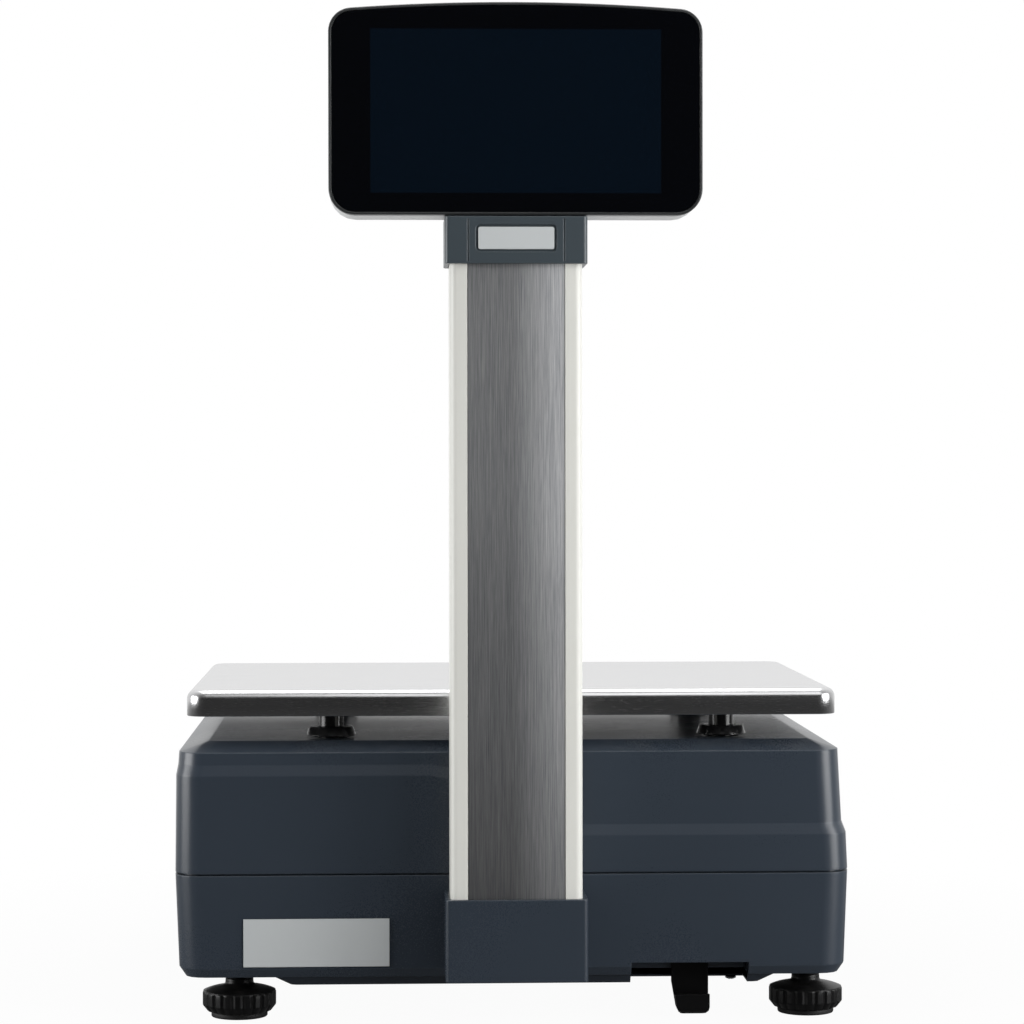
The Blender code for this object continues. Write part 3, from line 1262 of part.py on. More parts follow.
def rocker_switch(housing, plastic, rocker_plastic):
    """Power rocker in a frame let into the right wall."""
    y = FRONT_Y - ROCKER_Y_FROM_FRONT
    share = (ROCKER_Z - FLOOR_Z - FLOOR_CHAMFER_RISE) / (SEAM_Z - FLOOR_Z - FLOOR_CHAMFER_RISE)
    face = HALF_WIDTH - LOWER_DRAFT * (1 - share)
    flange_x = face - ROCKER_SETBACK

    def around(width, height, x_span, margin=0.0):
        """Spans of a box round the switch's middle."""
        return (
            x_span,
            (y - width / 2 - margin, y + width / 2 + margin),
            (ROCKER_Z - height / 2 - margin, ROCKER_Z + height / 2 + margin),
        )

    recess = block_tool("rocker_recess", around(
        ROCKER_FLANGE_WIDTH, ROCKER_FLANGE_HEIGHT,
        (flange_x - ROCKER_FLANGE - SEAT_GAP, HALF_WIDTH + CUT_OVERSHOOT), SEAT_GAP,
    ))
    opening = block_tool("rocker_opening", around(
        ROCKER_BODY_WIDTH, ROCKER_BODY_HEIGHT, (face - CUT_OVERSHOOT, HALF_WIDTH + CUT_OVERSHOOT), SEAT_GAP,
    ))
    cut(housing, recess, opening)
    frame = block_piece("rocker_frame", around(
        ROCKER_FLANGE_WIDTH, ROCKER_FLANGE_HEIGHT, (flange_x - ROCKER_FLANGE, flange_x),
    ), plastic)
    shell = block_tool("rocker_shell", around(
        ROCKER_BODY_WIDTH, ROCKER_BODY_HEIGHT,
        (flange_x - ROCKER_BODY_DEPTH, flange_x - ROCKER_FLANGE / 2),
    ))
    pocket = block_tool("rocker_pocket", around(
        ROCKER_POCKET_WIDTH, ROCKER_POCKET_HEIGHT, (flange_x - ROCKER_POCKET_DEPTH, flange_x + CUT_OVERSHOOT),
    ))
    fuse(frame, shell)
    cut(frame, pocket)
    half = ROCKER_HALF_LENGTH
    outline = [
        (ROCKER_EAR, 0.0), (-ROCKER_EAR, half), (-ROCKER_END_DEPTH, half),
        (-ROCKER_KEEL_DEPTH, 0.0), (-ROCKER_END_DEPTH, -half), (-ROCKER_EAR, -half),
    ]
    tilt = math.radians(ROCKER_TILT)
    link(
        "power_rocker", extruded([outline], ROCKER_POCKET_HEIGHT - 2 * SEAT_GAP), rocker_plastic,
        (flange_x, y, ROCKER_Z), (0, 0, tilt),
    )


def level_vial(deck, plastic, glass):
    """Round bubble level let into the deck beside the platter's edge."""
    y = CONSOLE_Y - VIAL_FROM_CONSOLE
    hole = tool("vial_hole", rod(VIAL_BODY_RADIUS + SEAT_GAP, VIAL_HOLE_REACH))
    hole.location = (VIAL_X, y, DECK_Z)
    cut(deck, hole)
    seat = DECK_Z + SEAT_GAP
    top = seat + VIAL_FLANGE
    floor = top - VIAL_DEPTH + VIAL_FLOOR
    bore = VIAL_RADIUS + SEAT_GAP
    turned("level_vial_housing", [
        (0.0, floor), (bore, floor), (bore, top),
        (VIAL_FLANGE_RADIUS, top), (VIAL_FLANGE_RADIUS, seat), (VIAL_BODY_RADIUS, seat),
        (VIAL_BODY_RADIUS, top - VIAL_DEPTH), (0.0, top - VIAL_DEPTH),
    ], plastic, (VIAL_X, y, 0))
    turned("level_vial", [
        (0.0, top), (VIAL_RADIUS - VIAL_EDGE, top), (VIAL_RADIUS, top - VIAL_EDGE),
        (VIAL_RADIUS, floor + SEAT_GAP), (0.0, floor + SEAT_GAP),
    ], glass, (VIAL_X, y, 0), steps=20)


def screw_bosses(lower, upper):
    """Ribbed bosses, bored for the screws from below that hold the two housings together."""
    x = HALF_WIDTH - SCREW_INSET_X
    y = REAR_Y + SCREW_REAR_Y_FROM_REAR
    upper_bottom = SEAM_Z + LIP_HEIGHT + SEAT_GAP
    top = upper_bottom + SCREW_BOSS_HEIGHT
    lower_top = SEAM_Z + LIP_HEIGHT
    lower_bottom = FLOOR_Z + FUSE_OVERLAP
    lower_rib = (HALF_WIDTH - LOWER_DRAFT - WALL / 2, FLOOR_Z + FLOOR_CHAMFER_RISE, SEAM_Z - LIP_HEIGHT)
    upper_rib = (HALF_WIDTH - WALL / 2, upper_bottom, top)
    for name, housing, low, high, rib in (
        ("lower", lower, lower_bottom, lower_top, lower_rib), ("upper", upper, upper_bottom, top, upper_rib),
    ):
        boss = tool(name + "_screw_bosses", rod(SCREW_BOSS_RADIUS, high - low, 16))
        boss.location = (-x, y, (low + high) / 2)
        repeat(boss, 2, (2 * x, 0, 0))
        repeat(boss, 2, (0, SCREW_SPAN_Y, 0))
        rib_outer, rib_low, rib_high = rib
        ribs = block_tool(name + "_screw_ribs", (
            (-rib_outer, -x), (y - SCREW_RIB / 2, y + SCREW_RIB / 2), (rib_low, rib_high),
        ))
        repeat(ribs, 2, (rib_outer + x, 0, 0))
        repeat(ribs, 2, (0, SCREW_SPAN_Y, 0))
        fuse(housing, boss, ribs)
    shank_top = top - SCREW_BOSS_ROOF
    bore = tool("screw_bores", rod(SCREW_RADIUS + SEAT_GAP, 2 * (shank_top + SEAT_GAP), 12))
    bore.location = (-x, y, 0)
    sink = tool("screw_sinks", rod(SCREW_HEAD_RADIUS + SEAT_GAP, 2 * (FLOOR_Z + SCREW_HEAD), 16))
    sink.location = (-x, y, 0)
    for group in (bore, sink):
        repeat(group, 2, (2 * x, 0, 0))
        repeat(group, 2, (0, SCREW_SPAN_Y, 0))
    cut(lower, bore, sink)
    cut(upper, bore)


def column(housing, painted, brushed, plastic, steel, badge_surface):
    """Column: extrusion with a brushed panel on each face, shoe, collar, bare badge and screws."""
    half = COLUMN_WIDTH / 2
    depth = COLUMN_DEPTH / 2
    channel = PANEL_WIDTH / 2 + SEAT_GAP
    sink = PANEL_THICKNESS + 2 * SEAT_GAP
    corners = [
        (-half, -depth, COLUMN_CORNER), (-channel, -depth, 0), (-channel, -depth + sink, 0),
        (channel, -depth + sink, 0), (channel, -depth, 0), (half, -depth, COLUMN_CORNER),
        (half, depth, COLUMN_CORNER), (channel, depth, 0), (channel, depth - sink, 0),
        (-channel, depth - sink, 0), (-channel, depth, 0), (-half, depth, COLUMN_CORNER),
    ]
    hollow = rectangle(
        COLUMN_WIDTH - 2 * COLUMN_WALL, COLUMN_DEPTH - 2 * (COLUMN_WALL + sink), COLUMN_WALL / 2
    )
    height = COLUMN_TOP_Z - COLUMN_BOTTOM_Z
    extrusion = link(
        "column_extrusion", extruded([rounded(corners), hollow], height), painted,
        (0, COLUMN_Y, COLUMN_BOTTOM_Z + height / 2),
    )
    shoe_top = SHOE_BOTTOM_Z + SHOE_HEIGHT
    panel_low = shoe_top - PANEL_ENGAGEMENT
    panel_high = COLLAR_BOTTOM_Z + PANEL_ENGAGEMENT
    for name, y in (
        ("column_panel_customer", COLUMN_FRONT_Y + SEAT_GAP),
        ("column_panel_operator", COLUMN_BACK_Y - SEAT_GAP - PANEL_THICKNESS),
    ):
        block_piece(name, (
            (-PANEL_WIDTH / 2, PANEL_WIDTH / 2), (y, y + PANEL_THICKNESS), (panel_low, panel_high),
        ), brushed)
    slip = rounded([
        (-half - SEAT_GAP, -depth - SEAT_GAP, COLUMN_CORNER),
        (half + SEAT_GAP, -depth - SEAT_GAP, COLUMN_CORNER),
        (half + SEAT_GAP, depth + SEAT_GAP, COLUMN_CORNER),
        (-half - SEAT_GAP, depth + SEAT_GAP, COLUMN_CORNER),
    ])
    sleeve = rectangle(SHOE_WIDTH, SHOE_DEPTH, SHOE_CORNER)
    shoe = link(
        "column_shoe", extruded([sleeve], SHOE_HEIGHT), plastic,
        (0, COLUMN_Y, SHOE_BOTTOM_Z + SHOE_HEIGHT / 2),
    )
    bevel(shoe, SHOE_EDGE, 2)
    shoe_pocket = tool("shoe_pocket", extruded([slip], SHOE_HEIGHT))
    shoe_pocket.location = (0, COLUMN_Y, SHOE_BOTTOM_Z + SHOE_FLOOR + SHOE_HEIGHT / 2)
    cut(shoe, shoe_pocket)
    collar = link(
        "column_collar", extruded([sleeve], COLLAR_HEIGHT), plastic,
        (0, COLUMN_Y, COLLAR_BOTTOM_Z + COLLAR_HEIGHT / 2),
    )
    bevel(collar, SHOE_EDGE, 2)
    collar_pocket = tool("collar_pocket", extruded([slip], COLLAR_HEIGHT))
    collar_pocket.location = (0, COLUMN_Y, COLUMN_TOP_Z + SEAT_GAP - COLLAR_HEIGHT / 2)
    swivel_hole = tool("swivel_hole", rod(SPIGOT_RADIUS + SEAT_GAP, SWIVEL_HOLE_REACH))
    swivel_hole.location = (0, COLUMN_Y, COLLAR_TOP_Z)
    face = COLUMN_Y - SHOE_DEPTH / 2
    along = (math.radians(90), 0, 0)
    recess_outline = rectangle(
        BADGE_WIDTH + 2 * BADGE_MARGIN, BADGE_HEIGHT + 2 * BADGE_MARGIN, BADGE_CORNER + BADGE_MARGIN
    )
    badge_recess = tool(
        "badge_recess", extruded([recess_outline], 2 * BADGE_RECESS_DEPTH), (0, face, BADGE_Z), along
    )
    cut(collar, collar_pocket, swivel_hole, badge_recess)
    for side in (-1, 1):
        x = side * COLLAR_GROOVE_SPAN / 2
        cut(collar, block_tool("collar_groove", (
            (x - COLLAR_GROOVE_WIDTH / 2, x + COLLAR_GROOVE_WIDTH / 2),
            (face - COLLAR_GROOVE_DEPTH, face + COLLAR_GROOVE_DEPTH),
            (COLLAR_BOTTOM_Z + COLLAR_GROOVE_MARGIN, COLLAR_TOP_Z - COLLAR_GROOVE_MARGIN),
        )))
    badge_face = face + BADGE_RECESS_DEPTH - SEAT_GAP
    badge_outline = rectangle(BADGE_WIDTH, BADGE_HEIGHT, BADGE_CORNER)
    link(
        "badge_plate", extruded([badge_outline], BADGE_THICKNESS), badge_surface,
        (0, badge_face - BADGE_THICKNESS / 2, BADGE_Z), along,
    )
    bore = tool("column_cable_bore", rod(CABLE_BORE_RADIUS, CABLE_BORE_REACH, 16), rotation=along)
    bore.location = (0, REAR_Y, CABLE_BORE_Z)
    inner_face = REAR_Y + LOWER_DRAFT + WALL
    tip = COLUMN_BACK_Y - sink - COLUMN_WALL / 2 - inner_face
    profile = [
        (0.0, SHOE_SCREW_HEAD), (SHOE_SCREW_HEAD_RADIUS, SHOE_SCREW_HEAD), (SHOE_SCREW_HEAD_RADIUS, 0.0),
        (SHOE_SCREW_RADIUS, 0.0), (SHOE_SCREW_RADIUS, tip), (0.0, tip),
    ]
    for piece in (housing, shoe, extrusion):
        cut(piece, bore)
    for side, x in (("left", -SHOE_SCREW_SPAN_X / 2), ("right", SHOE_SCREW_SPAN_X / 2)):
        turned(
            "shoe_screw_" + side, profile, steel, (x, inner_face + SEAT_GAP, CABLE_BORE_Z),
            steps=12, rotation=(math.radians(-90), 0, 0),
        )
        bore = rod(SHOE_SCREW_RADIUS + SEAT_GAP, -2 * tip, 12)
        hole = tool("shoe_screw_hole_" + side, bore, rotation=along)
        hole.location = (x, inner_face, CABLE_BORE_Z)
        for piece in (housing, shoe, extrusion):
            cut(piece, hole)


def rating_plate(surface):
    """Bare plate on the rear of the lower housing."""
    face = REAR_Y - SEAT_GAP
    block_piece("rating_plate", (
        (RATING_X - RATING_WIDTH / 2, RATING_X + RATING_WIDTH / 2),
        (face - RATING_THICKNESS, face),
        (RATING_Z - RATING_HEIGHT / 2, RATING_Z + RATING_HEIGHT / 2),
    ), surface)


def head_outline(inset):
    """Outline of the display head in X and Z: rounded corners and a slightly arched top."""
    half = HEAD_WIDTH / 2 - inset
    bottom = HEAD_BOTTOM_Z + inset
    top = HEAD_BOTTOM_Z + HEAD_SIDE_HEIGHT - inset
    corners = [
        (-half, bottom, HEAD_CORNER_BOTTOM - inset),
        (half, bottom, HEAD_CORNER_BOTTOM - inset),
        (half, top, HEAD_CORNER_TOP - inset),
    ]
    for index in range(1, HEAD_ARCH_POINTS):
        across = 1 - 2 * index / HEAD_ARCH_POINTS
        corners.append((half * across, top + HEAD_ARCH * (1 - across * across), 0))
    corners.append((-half, top, HEAD_CORNER_TOP - inset))
    return rounded(corners, steps=HEAD_CORNER_STEPS)


def head_plate(inset, depth):
    """A slab of the head's outline, lying in X and Z."""
    return extruded([head_outline(inset)], depth)


def display_head(silver, bezel_plastic, glass, panel_surface, board_surface):
    """Double-sided display head on a swivel spigot at the column's axis."""
    axis = frame_at("head_axis", (0, COLUMN_Y, 0))
    upright = (math.radians(90), 0, 0)
    front = HEAD_FRONT_Y - COLUMN_Y
    back = HEAD_BACK_Y - COLUMN_Y
    shell_front = front + BEZEL_DEPTH + SEAT_GAP
    shell = link(
        "head_back_shell", head_plate(0.0, back - shell_front), silver,
        (0, (shell_front + back) / 2, 0), upright, axis,
    )
    trim = shell.modifiers.new("back_edge", "BEVEL")
    trim.width = HEAD_BACK_EDGE
    trim.segments = 3
    trim.limit_method = "VGROUP"
    group = shell.vertex_groups.new(name="back")
    group.add([vertex.index for vertex in shell.data.vertices if vertex.co.z < 0], 1.0, "REPLACE")
    trim.vertex_group = "back"
    pocket_back = back - HEAD_WALL
    pocket = tool(
        "head_pocket", head_plate(HEAD_WALL, pocket_back - shell_front + CUT_OVERSHOOT),
        (0, (shell_front - CUT_OVERSHOOT + pocket_back) / 2, 0), upright, axis,
    )
    cut(shell, pocket)
    bezel = link(
        "display_bezel", head_plate(0.0, BEZEL_DEPTH), bezel_plastic,
        (0, front + BEZEL_DEPTH / 2, 0), upright, axis,
    )
    glass_seat = GLASS_THICKNESS + SEAT_GAP
    glass_pocket = tool(
        "glass_pocket", head_plate(BEZEL_RIM, glass_seat + CUT_OVERSHOOT),
        (0, front + (glass_seat - CUT_OVERSHOOT) / 2, 0), upright, axis,
    )
    window = block_tool("lcd_window", (
        (-LCD_WIDTH / 2 - SEAT_GAP, LCD_WIDTH / 2 + SEAT_GAP), (front - CUT_OVERSHOOT, front + HEAD_DEPTH),
        (LCD_CENTRE_Z - LCD_HEIGHT / 2 - SEAT_GAP, LCD_CENTRE_Z + LCD_HEIGHT / 2 + SEAT_GAP),
    ), axis)
    cut(bezel, glass_pocket, window)
    link(
        "display_glass", head_plate(BEZEL_RIM + SEAT_GAP, GLASS_THICKNESS), glass,
        (0, front + GLASS_THICKNESS / 2, 0), upright, axis,
    )
    lcd_front = front + glass_seat
    block_piece("lcd_panel", (
        (-LCD_WIDTH / 2, LCD_WIDTH / 2), (lcd_front, lcd_front + LCD_THICKNESS),
        (LCD_CENTRE_Z - LCD_HEIGHT / 2, LCD_CENTRE_Z + LCD_HEIGHT / 2),
    ), panel_surface, axis)

    board_back = pocket_back - HEAD_BOARD_BOSS_LENGTH - SEAT_GAP
    half_board = HEAD_BOARD_WIDTH / 2
    half_height = HEAD_BOARD_HEIGHT / 2
    block_piece("head_board", (
        (-half_board, half_board), (board_back - BOARD_THICKNESS, board_back),
        (LCD_CENTRE_Z - half_height, LCD_CENTRE_Z + half_height),
    ), board_surface, axis)
    boss = rod(HEAD_BOARD_BOSS_RADIUS, HEAD_BOARD_BOSS_LENGTH + FUSE_OVERLAP, 12)
    bosses = tool("head_bosses", boss, parent=axis)
    bosses.rotation_euler = upright
    inset = 2 * HEAD_BOARD_BOSS_RADIUS
    bosses.location = (
        -half_board + inset, pocket_back - (HEAD_BOARD_BOSS_LENGTH - FUSE_OVERLAP) / 2,
        LCD_CENTRE_Z - half_height + inset,
    )
    repeat(bosses, 2, (HEAD_BOARD_WIDTH - 2 * inset, 0, 0))
    repeat(bosses, 2, (0, HEAD_BOARD_HEIGHT - 2 * inset, 0))
    fuse(shell, bosses)

    window_half = OPERATOR_WINDOW_WIDTH / 2
    window_up = OPERATOR_WINDOW_HEIGHT / 2
    sunk = OPERATOR_WINDOW_THICKNESS + SEAT_GAP
    recess = block_tool("operator_recess", (
        (-window_half - SEAT_GAP, window_half + SEAT_GAP), (back - sunk, back + CUT_OVERSHOOT),
        (LCD_CENTRE_Z - window_up - SEAT_GAP, LCD_CENTRE_Z + window_up + SEAT_GAP),
    ), axis)
    rim = OPERATOR_WINDOW_RIM
    opening = block_tool("operator_opening", (
        (-window_half + rim, window_half - rim), (pocket_back - FUSE_OVERLAP, back + CUT_OVERSHOOT),
        (LCD_CENTRE_Z - window_up + rim, LCD_CENTRE_Z + window_up - rim),
    ), axis)
    cut(shell, recess, opening)
    block_piece("operator_window", (
        (-window_half, window_half), (back - OPERATOR_WINDOW_THICKNESS, back),
        (LCD_CENTRE_Z - window_up, LCD_CENTRE_Z + window_up),
    ), glass, axis)
    lcd_back = pocket_back - SEAT_GAP
    block_piece("operator_lcd", (
        (-window_half + OPERATOR_LCD_MARGIN, window_half - OPERATOR_LCD_MARGIN),
        (lcd_back - OPERATOR_LCD_THICKNESS, lcd_back),
        (LCD_CENTRE_Z - window_up + SEAT_GAP, LCD_CENTRE_Z + window_up - SEAT_GAP),
    ), panel_surface, axis)

    floor_top = HEAD_BOTTOM_Z + HEAD_WALL + SEAT_GAP
    tube_bottom = COLLAR_TOP_Z - SPIGOT_BELOW_COLLAR
    turned("swivel_spigot", [
        (SPIGOT_FLANGE_RADIUS, floor_top + SPIGOT_FLANGE), (SPIGOT_FLANGE_RADIUS, floor_top),
        (SPIGOT_RADIUS, floor_top), (SPIGOT_RADIUS, tube_bottom), (SPIGOT_BORE_RADIUS, tube_bottom),
        (SPIGOT_BORE_RADIUS, floor_top + SPIGOT_FLANGE),
    ], bezel_plastic, (0, 0, 0), parent=axis, closed=True)
    bore = rod(SPIGOT_RADIUS + SEAT_GAP, SPIGOT_HOLE_REACH)
    spigot_hole = tool("spigot_hole", bore, (0, 0, HEAD_BOTTOM_Z), parent=axis)
    cut(shell, spigot_hole)


def build():
    """All sub-assemblies, from the body up to the display head."""
    body_plastic = material("body_plastic", (62, 72, 84), 0.45)
    black_plastic = material("black_plastic", (18, 18, 20), 0.5)
    rubber = material("rubber", (16, 16, 17), 0.8)
    black_metal = material("black_metal", (22, 22, 23), 0.4, 0.6)
    dark_paint = material("dark_paint", (38, 45, 54), 0.45)
    steel = material("steel", (172, 175, 178), 0.35, 1.0)
    satin_steel = material("satin_steel", (205, 206, 206), 0.3, 1.0)
    aluminium = material("aluminium", (180, 183, 186), 0.45, 1.0)
    white_paint = material("white_paint", (236, 236, 232), 0.35)
    brushed = material("brushed_panel", (128, 131, 138), 0.35, 1.0)
    silver_plastic = material("silver_plastic", (196, 198, 199), 0.4)
    bezel_plastic = material("bezel_plastic", (48, 50, 52), 0.35)
    glass = material("black_glass", (4, 5, 8), 0.08)
    screen = material("screen", (5, 12, 20), 0.2)
    board = material("circuit_board", (28, 84, 52), 0.6)
    plate = material("plate", (176, 180, 184), 0.4, 0.6)
    paper = material("paper", (240, 240, 236), 0.8)
    overlay = material("overlay", (70, 80, 92), 0.5)

    lower = lower_housing(body_plastic)
    upper = upper_housing(body_plastic)
    slope = console_frame()
    feet(lower, black_plastic, rubber)
    base_pan(dark_paint)
    cable_outlet(lower, black_plastic, black_plastic)
    weighing_chain(upper, aluminium, black_metal, satin_steel)
    cell_bolts(steel)
    printer(upper, slope, steel, black_plastic, rubber, paper, steel)
    console(upper, slope, overlay, board)
    electronics(lower, board, steel)
    rocker_switch(lower, black_plastic, black_plastic)
    level_vial(upper, black_plastic, glass)
    screw_bosses(lower, upper)
    column(lower, white_paint, brushed, body_plastic, steel, plate)
    rating_plate(plate)
    display_head(silver_plastic, bezel_plastic, glass, screen, board)


empty_scene()
PIECES = new_collection("label_printing_scale")
TOOLS = new_collection("cutters")
build()
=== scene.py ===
"""Looks of a label-printing counter scale with a pole display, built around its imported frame.

Metres, +Z up. The customer stands on the -Y side, where the column is, and the operator on the +Y side.
"""

import math

import bmesh
import bpy
import numpy as np
from mathutils import Matrix, Vector


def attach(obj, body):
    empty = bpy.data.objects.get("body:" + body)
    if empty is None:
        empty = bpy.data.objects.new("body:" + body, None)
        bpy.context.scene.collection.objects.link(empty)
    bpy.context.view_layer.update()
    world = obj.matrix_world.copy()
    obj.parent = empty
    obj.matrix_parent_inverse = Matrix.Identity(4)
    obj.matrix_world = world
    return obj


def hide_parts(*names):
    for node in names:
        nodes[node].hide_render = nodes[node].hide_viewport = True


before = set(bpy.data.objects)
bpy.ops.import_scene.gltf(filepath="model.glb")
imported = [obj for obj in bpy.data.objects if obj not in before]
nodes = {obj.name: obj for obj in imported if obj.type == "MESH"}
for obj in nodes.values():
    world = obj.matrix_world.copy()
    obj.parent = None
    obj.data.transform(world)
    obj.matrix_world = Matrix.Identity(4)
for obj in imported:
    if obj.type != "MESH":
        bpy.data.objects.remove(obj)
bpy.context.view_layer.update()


# Lower housing. One moulding of ABS in a dark blue grey, with a fine spark-eroded texture all over.
# The bosses of the feet and of the screws are moulded with it; its rim carries the seam.

def srgb(red, green, blue):
    """A colour read as 0 to 255 in sRGB, as linear values for a shader socket."""
    channels = np.array([red, green, blue]) / 255
    low = channels / 12.92
    high = ((channels + 0.055) / 1.055) ** 2.4
    return (*np.where(channels <= 0.04045, low, high), 1.0)


def group_of(name, inputs, outputs, normal=False):
    """An empty node group with float inputs, their defaults, float outputs and at will a normal."""
    tree = bpy.data.node_groups.new(name, "ShaderNodeTree")
    for label, value in inputs.items():
        socket = tree.interface.new_socket(label, in_out="INPUT", socket_type="NodeSocketFloat")
        socket.default_value = value
    for label in outputs:
        tree.interface.new_socket(label, in_out="OUTPUT", socket_type="NodeSocketFloat")
    if normal:
        tree.interface.new_socket("Normal", in_out="OUTPUT", socket_type="NodeSocketVector")
    return tree, tree.nodes.new("NodeGroupInput"), tree.nodes.new("NodeGroupOutput")


def add(tree, kind, settings=None, **inputs):
    """A node with its settings, and its inputs set to values or linked from sockets.

    An input is named in lower case with _ for a blank, or in0, in1, in2 for its place in the list.
    """
    node = tree.nodes.new(kind)
    for name, value in (settings or {}).items():
        setattr(node, name, value)
    for name, value in inputs.items():
        if name.startswith("in") and name[2:].isdigit():
            socket = node.inputs[int(name[2:])]
        else:
            socket = next(s for s in node.inputs if s.name.lower().replace(" ", "_") == name and s.enabled)
        if isinstance(value, bpy.types.NodeSocket):
            tree.links.new(value, socket)
        else:
            socket.default_value = value
    return node


def maths(tree, operation, first, second=0.0):
    """The output of one Math node."""
    return add(tree, "ShaderNodeMath", {"operation": operation}, in0=first, in1=second).outputs[0]


def ranged(tree, value, low, high, to_low, to_high):
    """A value carried from one range to another."""
    return add(tree, "ShaderNodeMapRange", value=value, from_min=low, from_max=high,
               to_min=to_low, to_max=to_high).outputs[0]


def object_place(tree):
    """Object coordinates, which are the piece's own place in metres."""
    return tree.nodes.new("ShaderNodeTexCoord").outputs["Object"]


def spark_texture_group():
    """Fine pits of a spark-eroded mould: noise at the grain's size plus a slow waviness."""
    tree, entry, result = group_of("spark texture", {"Grain": 0.0005}, ("Height", "Tone"))
    place = object_place(tree)
    scale = maths(tree, "DIVIDE", 1.0, entry.outputs["Grain"])
    pits = add(tree, "ShaderNodeTexNoise", vector=place, scale=scale, detail=3.0, roughness=0.6)
    slow = add(tree, "ShaderNodeTexNoise", vector=place, scale=9.0, detail=2.0)
    tree.links.new(pits.outputs["Fac"], result.inputs["Height"])
    both = maths(tree, "ADD", maths(tree, "MULTIPLY", pits.outputs["Fac"], 0.35),
                 maths(tree, "MULTIPLY", slow.outputs["Fac"], 0.65))
    tree.links.new(both, result.inputs["Tone"])
    return tree


def eased_edge_group():
    """The normal of edges broken to a small radius, and how far it turns, which is where hands rub and where
    a painted highlight falls.
    """
    tree, entry, result = group_of("eased edge", {"Radius": 0.0006}, ("Mask",), normal=True)
    eased = add(tree, "ShaderNodeBevel", {"samples": 4}, radius=entry.outputs["Radius"])
    true = tree.nodes.new("ShaderNodeNewGeometry").outputs["Normal"]
    dot = add(tree, "ShaderNodeVectorMath", {"operation": "DOT_PRODUCT"}, in0=eased.outputs[0], in1=true)
    turned = maths(tree, "SUBTRACT", 1.0, dot.outputs["Value"])
    tree.links.new(ranged(tree, turned, 0.01, 0.12, 0.0, 1.0), result.inputs["Mask"])
    tree.links.new(eased.outputs[0], result.inputs["Normal"])
    return tree


def settled_dust_group():
    """Thin dust: patchy noise on faces that look up, by the true normal's Z."""
    tree, entry, result = group_of("settled dust", {"Amount": 0.2}, ("Mask",))
    normal = tree.nodes.new("ShaderNodeNewGeometry").outputs["Normal"]
    up = add(tree, "ShaderNodeSeparateXYZ", in0=normal).outputs["Z"]
    place = object_place(tree)
    patches = add(tree, "ShaderNodeTexNoise", vector=place, scale=55.0, detail=5.0, roughness=0.7)
    spread = ranged(tree, patches.outputs["Fac"], 0.42, 0.72, 0.0, 1.0)
    thin = maths(tree, "MULTIPLY", ranged(tree, up, 0.3, 0.95, 0.0, 1.0), spread)
    tree.links.new(maths(tree, "MULTIPLY", thin, entry.outputs["Amount"]), result.inputs["Mask"])
    return tree


SPARK_TEXTURE = spark_texture_group()
EASED_EDGE = eased_edge_group()
SETTLED_DUST = settled_dust_group()


def place_group(tree, group, **inputs):
    """A node group placed in a material with its own values."""
    node = tree.nodes.new("ShaderNodeGroup")
    node.node_tree = group
    for name, value in inputs.items():
        node.inputs[name].default_value = value
    return node


def blank_material(name, roughness, metallic=0.0, **constants):
    """A material with one Principled shader, whose plain numbers are set on its own sockets."""
    surface = bpy.data.materials.new(name)
    surface.use_nodes = True
    shader = surface.node_tree.nodes["Principled BSDF"]
    shader.inputs["Roughness"].default_value = roughness
    shader.inputs["Metallic"].default_value = metallic
    for label, value in constants.items():
        shader.inputs[label.replace("_", " ")].default_value = value
    return surface, surface.node_tree, shader


def mixed_colour(tree, share, first, second):
    """Two colours mixed by a mask."""
    node = tree.nodes.new("ShaderNodeMix")
    node.data_type = "RGBA"
    for socket, value in ((node.inputs[0], share), (node.inputs[6], first), (node.inputs[7], second)):
        if isinstance(value, bpy.types.NodeSocket):
            tree.links.new(value, socket)
        else:
            socket.default_value = value
    return node.outputs[2]


def darker(colour, share):
    """A colour with its channels multiplied."""
    return (*[channel * share for channel in colour[:3]], 1.0)


def swung_gloss(tree, shader, mask, low, high, roughness, swing):
    """Roughness that goes from less to more than its middle value as a mask goes from low to high."""
    value = ranged(tree, mask, low, high, roughness - swing, roughness + swing)
    tree.links.new(value, shader.inputs["Roughness"])


def bumped(tree, shader, height, strength, distance, **beneath):
    """Fine relief of a finish, in the shader's Normal."""
    bump = add(tree, "ShaderNodeBump", strength=strength, distance=distance, height=height, **beneath)
    tree.links.new(bump.outputs[0], shader.inputs["Normal"])


DUST_COLOUR = srgb(150, 148, 143)


def moulded_plastic(name, colour, pale, roughness, grain=0.0005, depth=0.00003, dust=0.07, wear_and_highlight=0.35,
                    ease=0.0006, **constants):
    """Moulded plastic: spark texture in normal, colour and gloss, broken edges made paler by rubbing and by a
    painted highlight, and dust.
    """
    surface, tree, shader = blank_material(name, roughness, **constants)
    texture = place_group(tree, SPARK_TEXTURE, Grain=grain)
    edge = place_group(tree, EASED_EDGE, Radius=ease)
    settled = place_group(tree, SETTLED_DUST, Amount=dust)
    toned = mixed_colour(tree, texture.outputs["Tone"], darker(colour, 0.84), colour)
    # Edges go paler: partly wear and partly a painted highlight.
    rubbed_and_highlit = mixed_colour(tree, maths(tree, "MULTIPLY", edge.outputs["Mask"], wear_and_highlight), toned, pale)
    dusty = mixed_colour(tree, settled.outputs["Mask"], rubbed_and_highlit, DUST_COLOUR)
    tree.links.new(dusty, shader.inputs["Base Color"])
    swung_gloss(tree, shader, texture.outputs["Tone"], 0.2, 0.8, roughness, 0.06)
    bumped(tree, shader, texture.outputs["Height"], 0.6, depth, normal=edge.outputs["Normal"])
    return surface


DOUBLES_APART = 0.000005
FLAT_DEGREES = 0.5
SHARP_DEGREES = 32.0


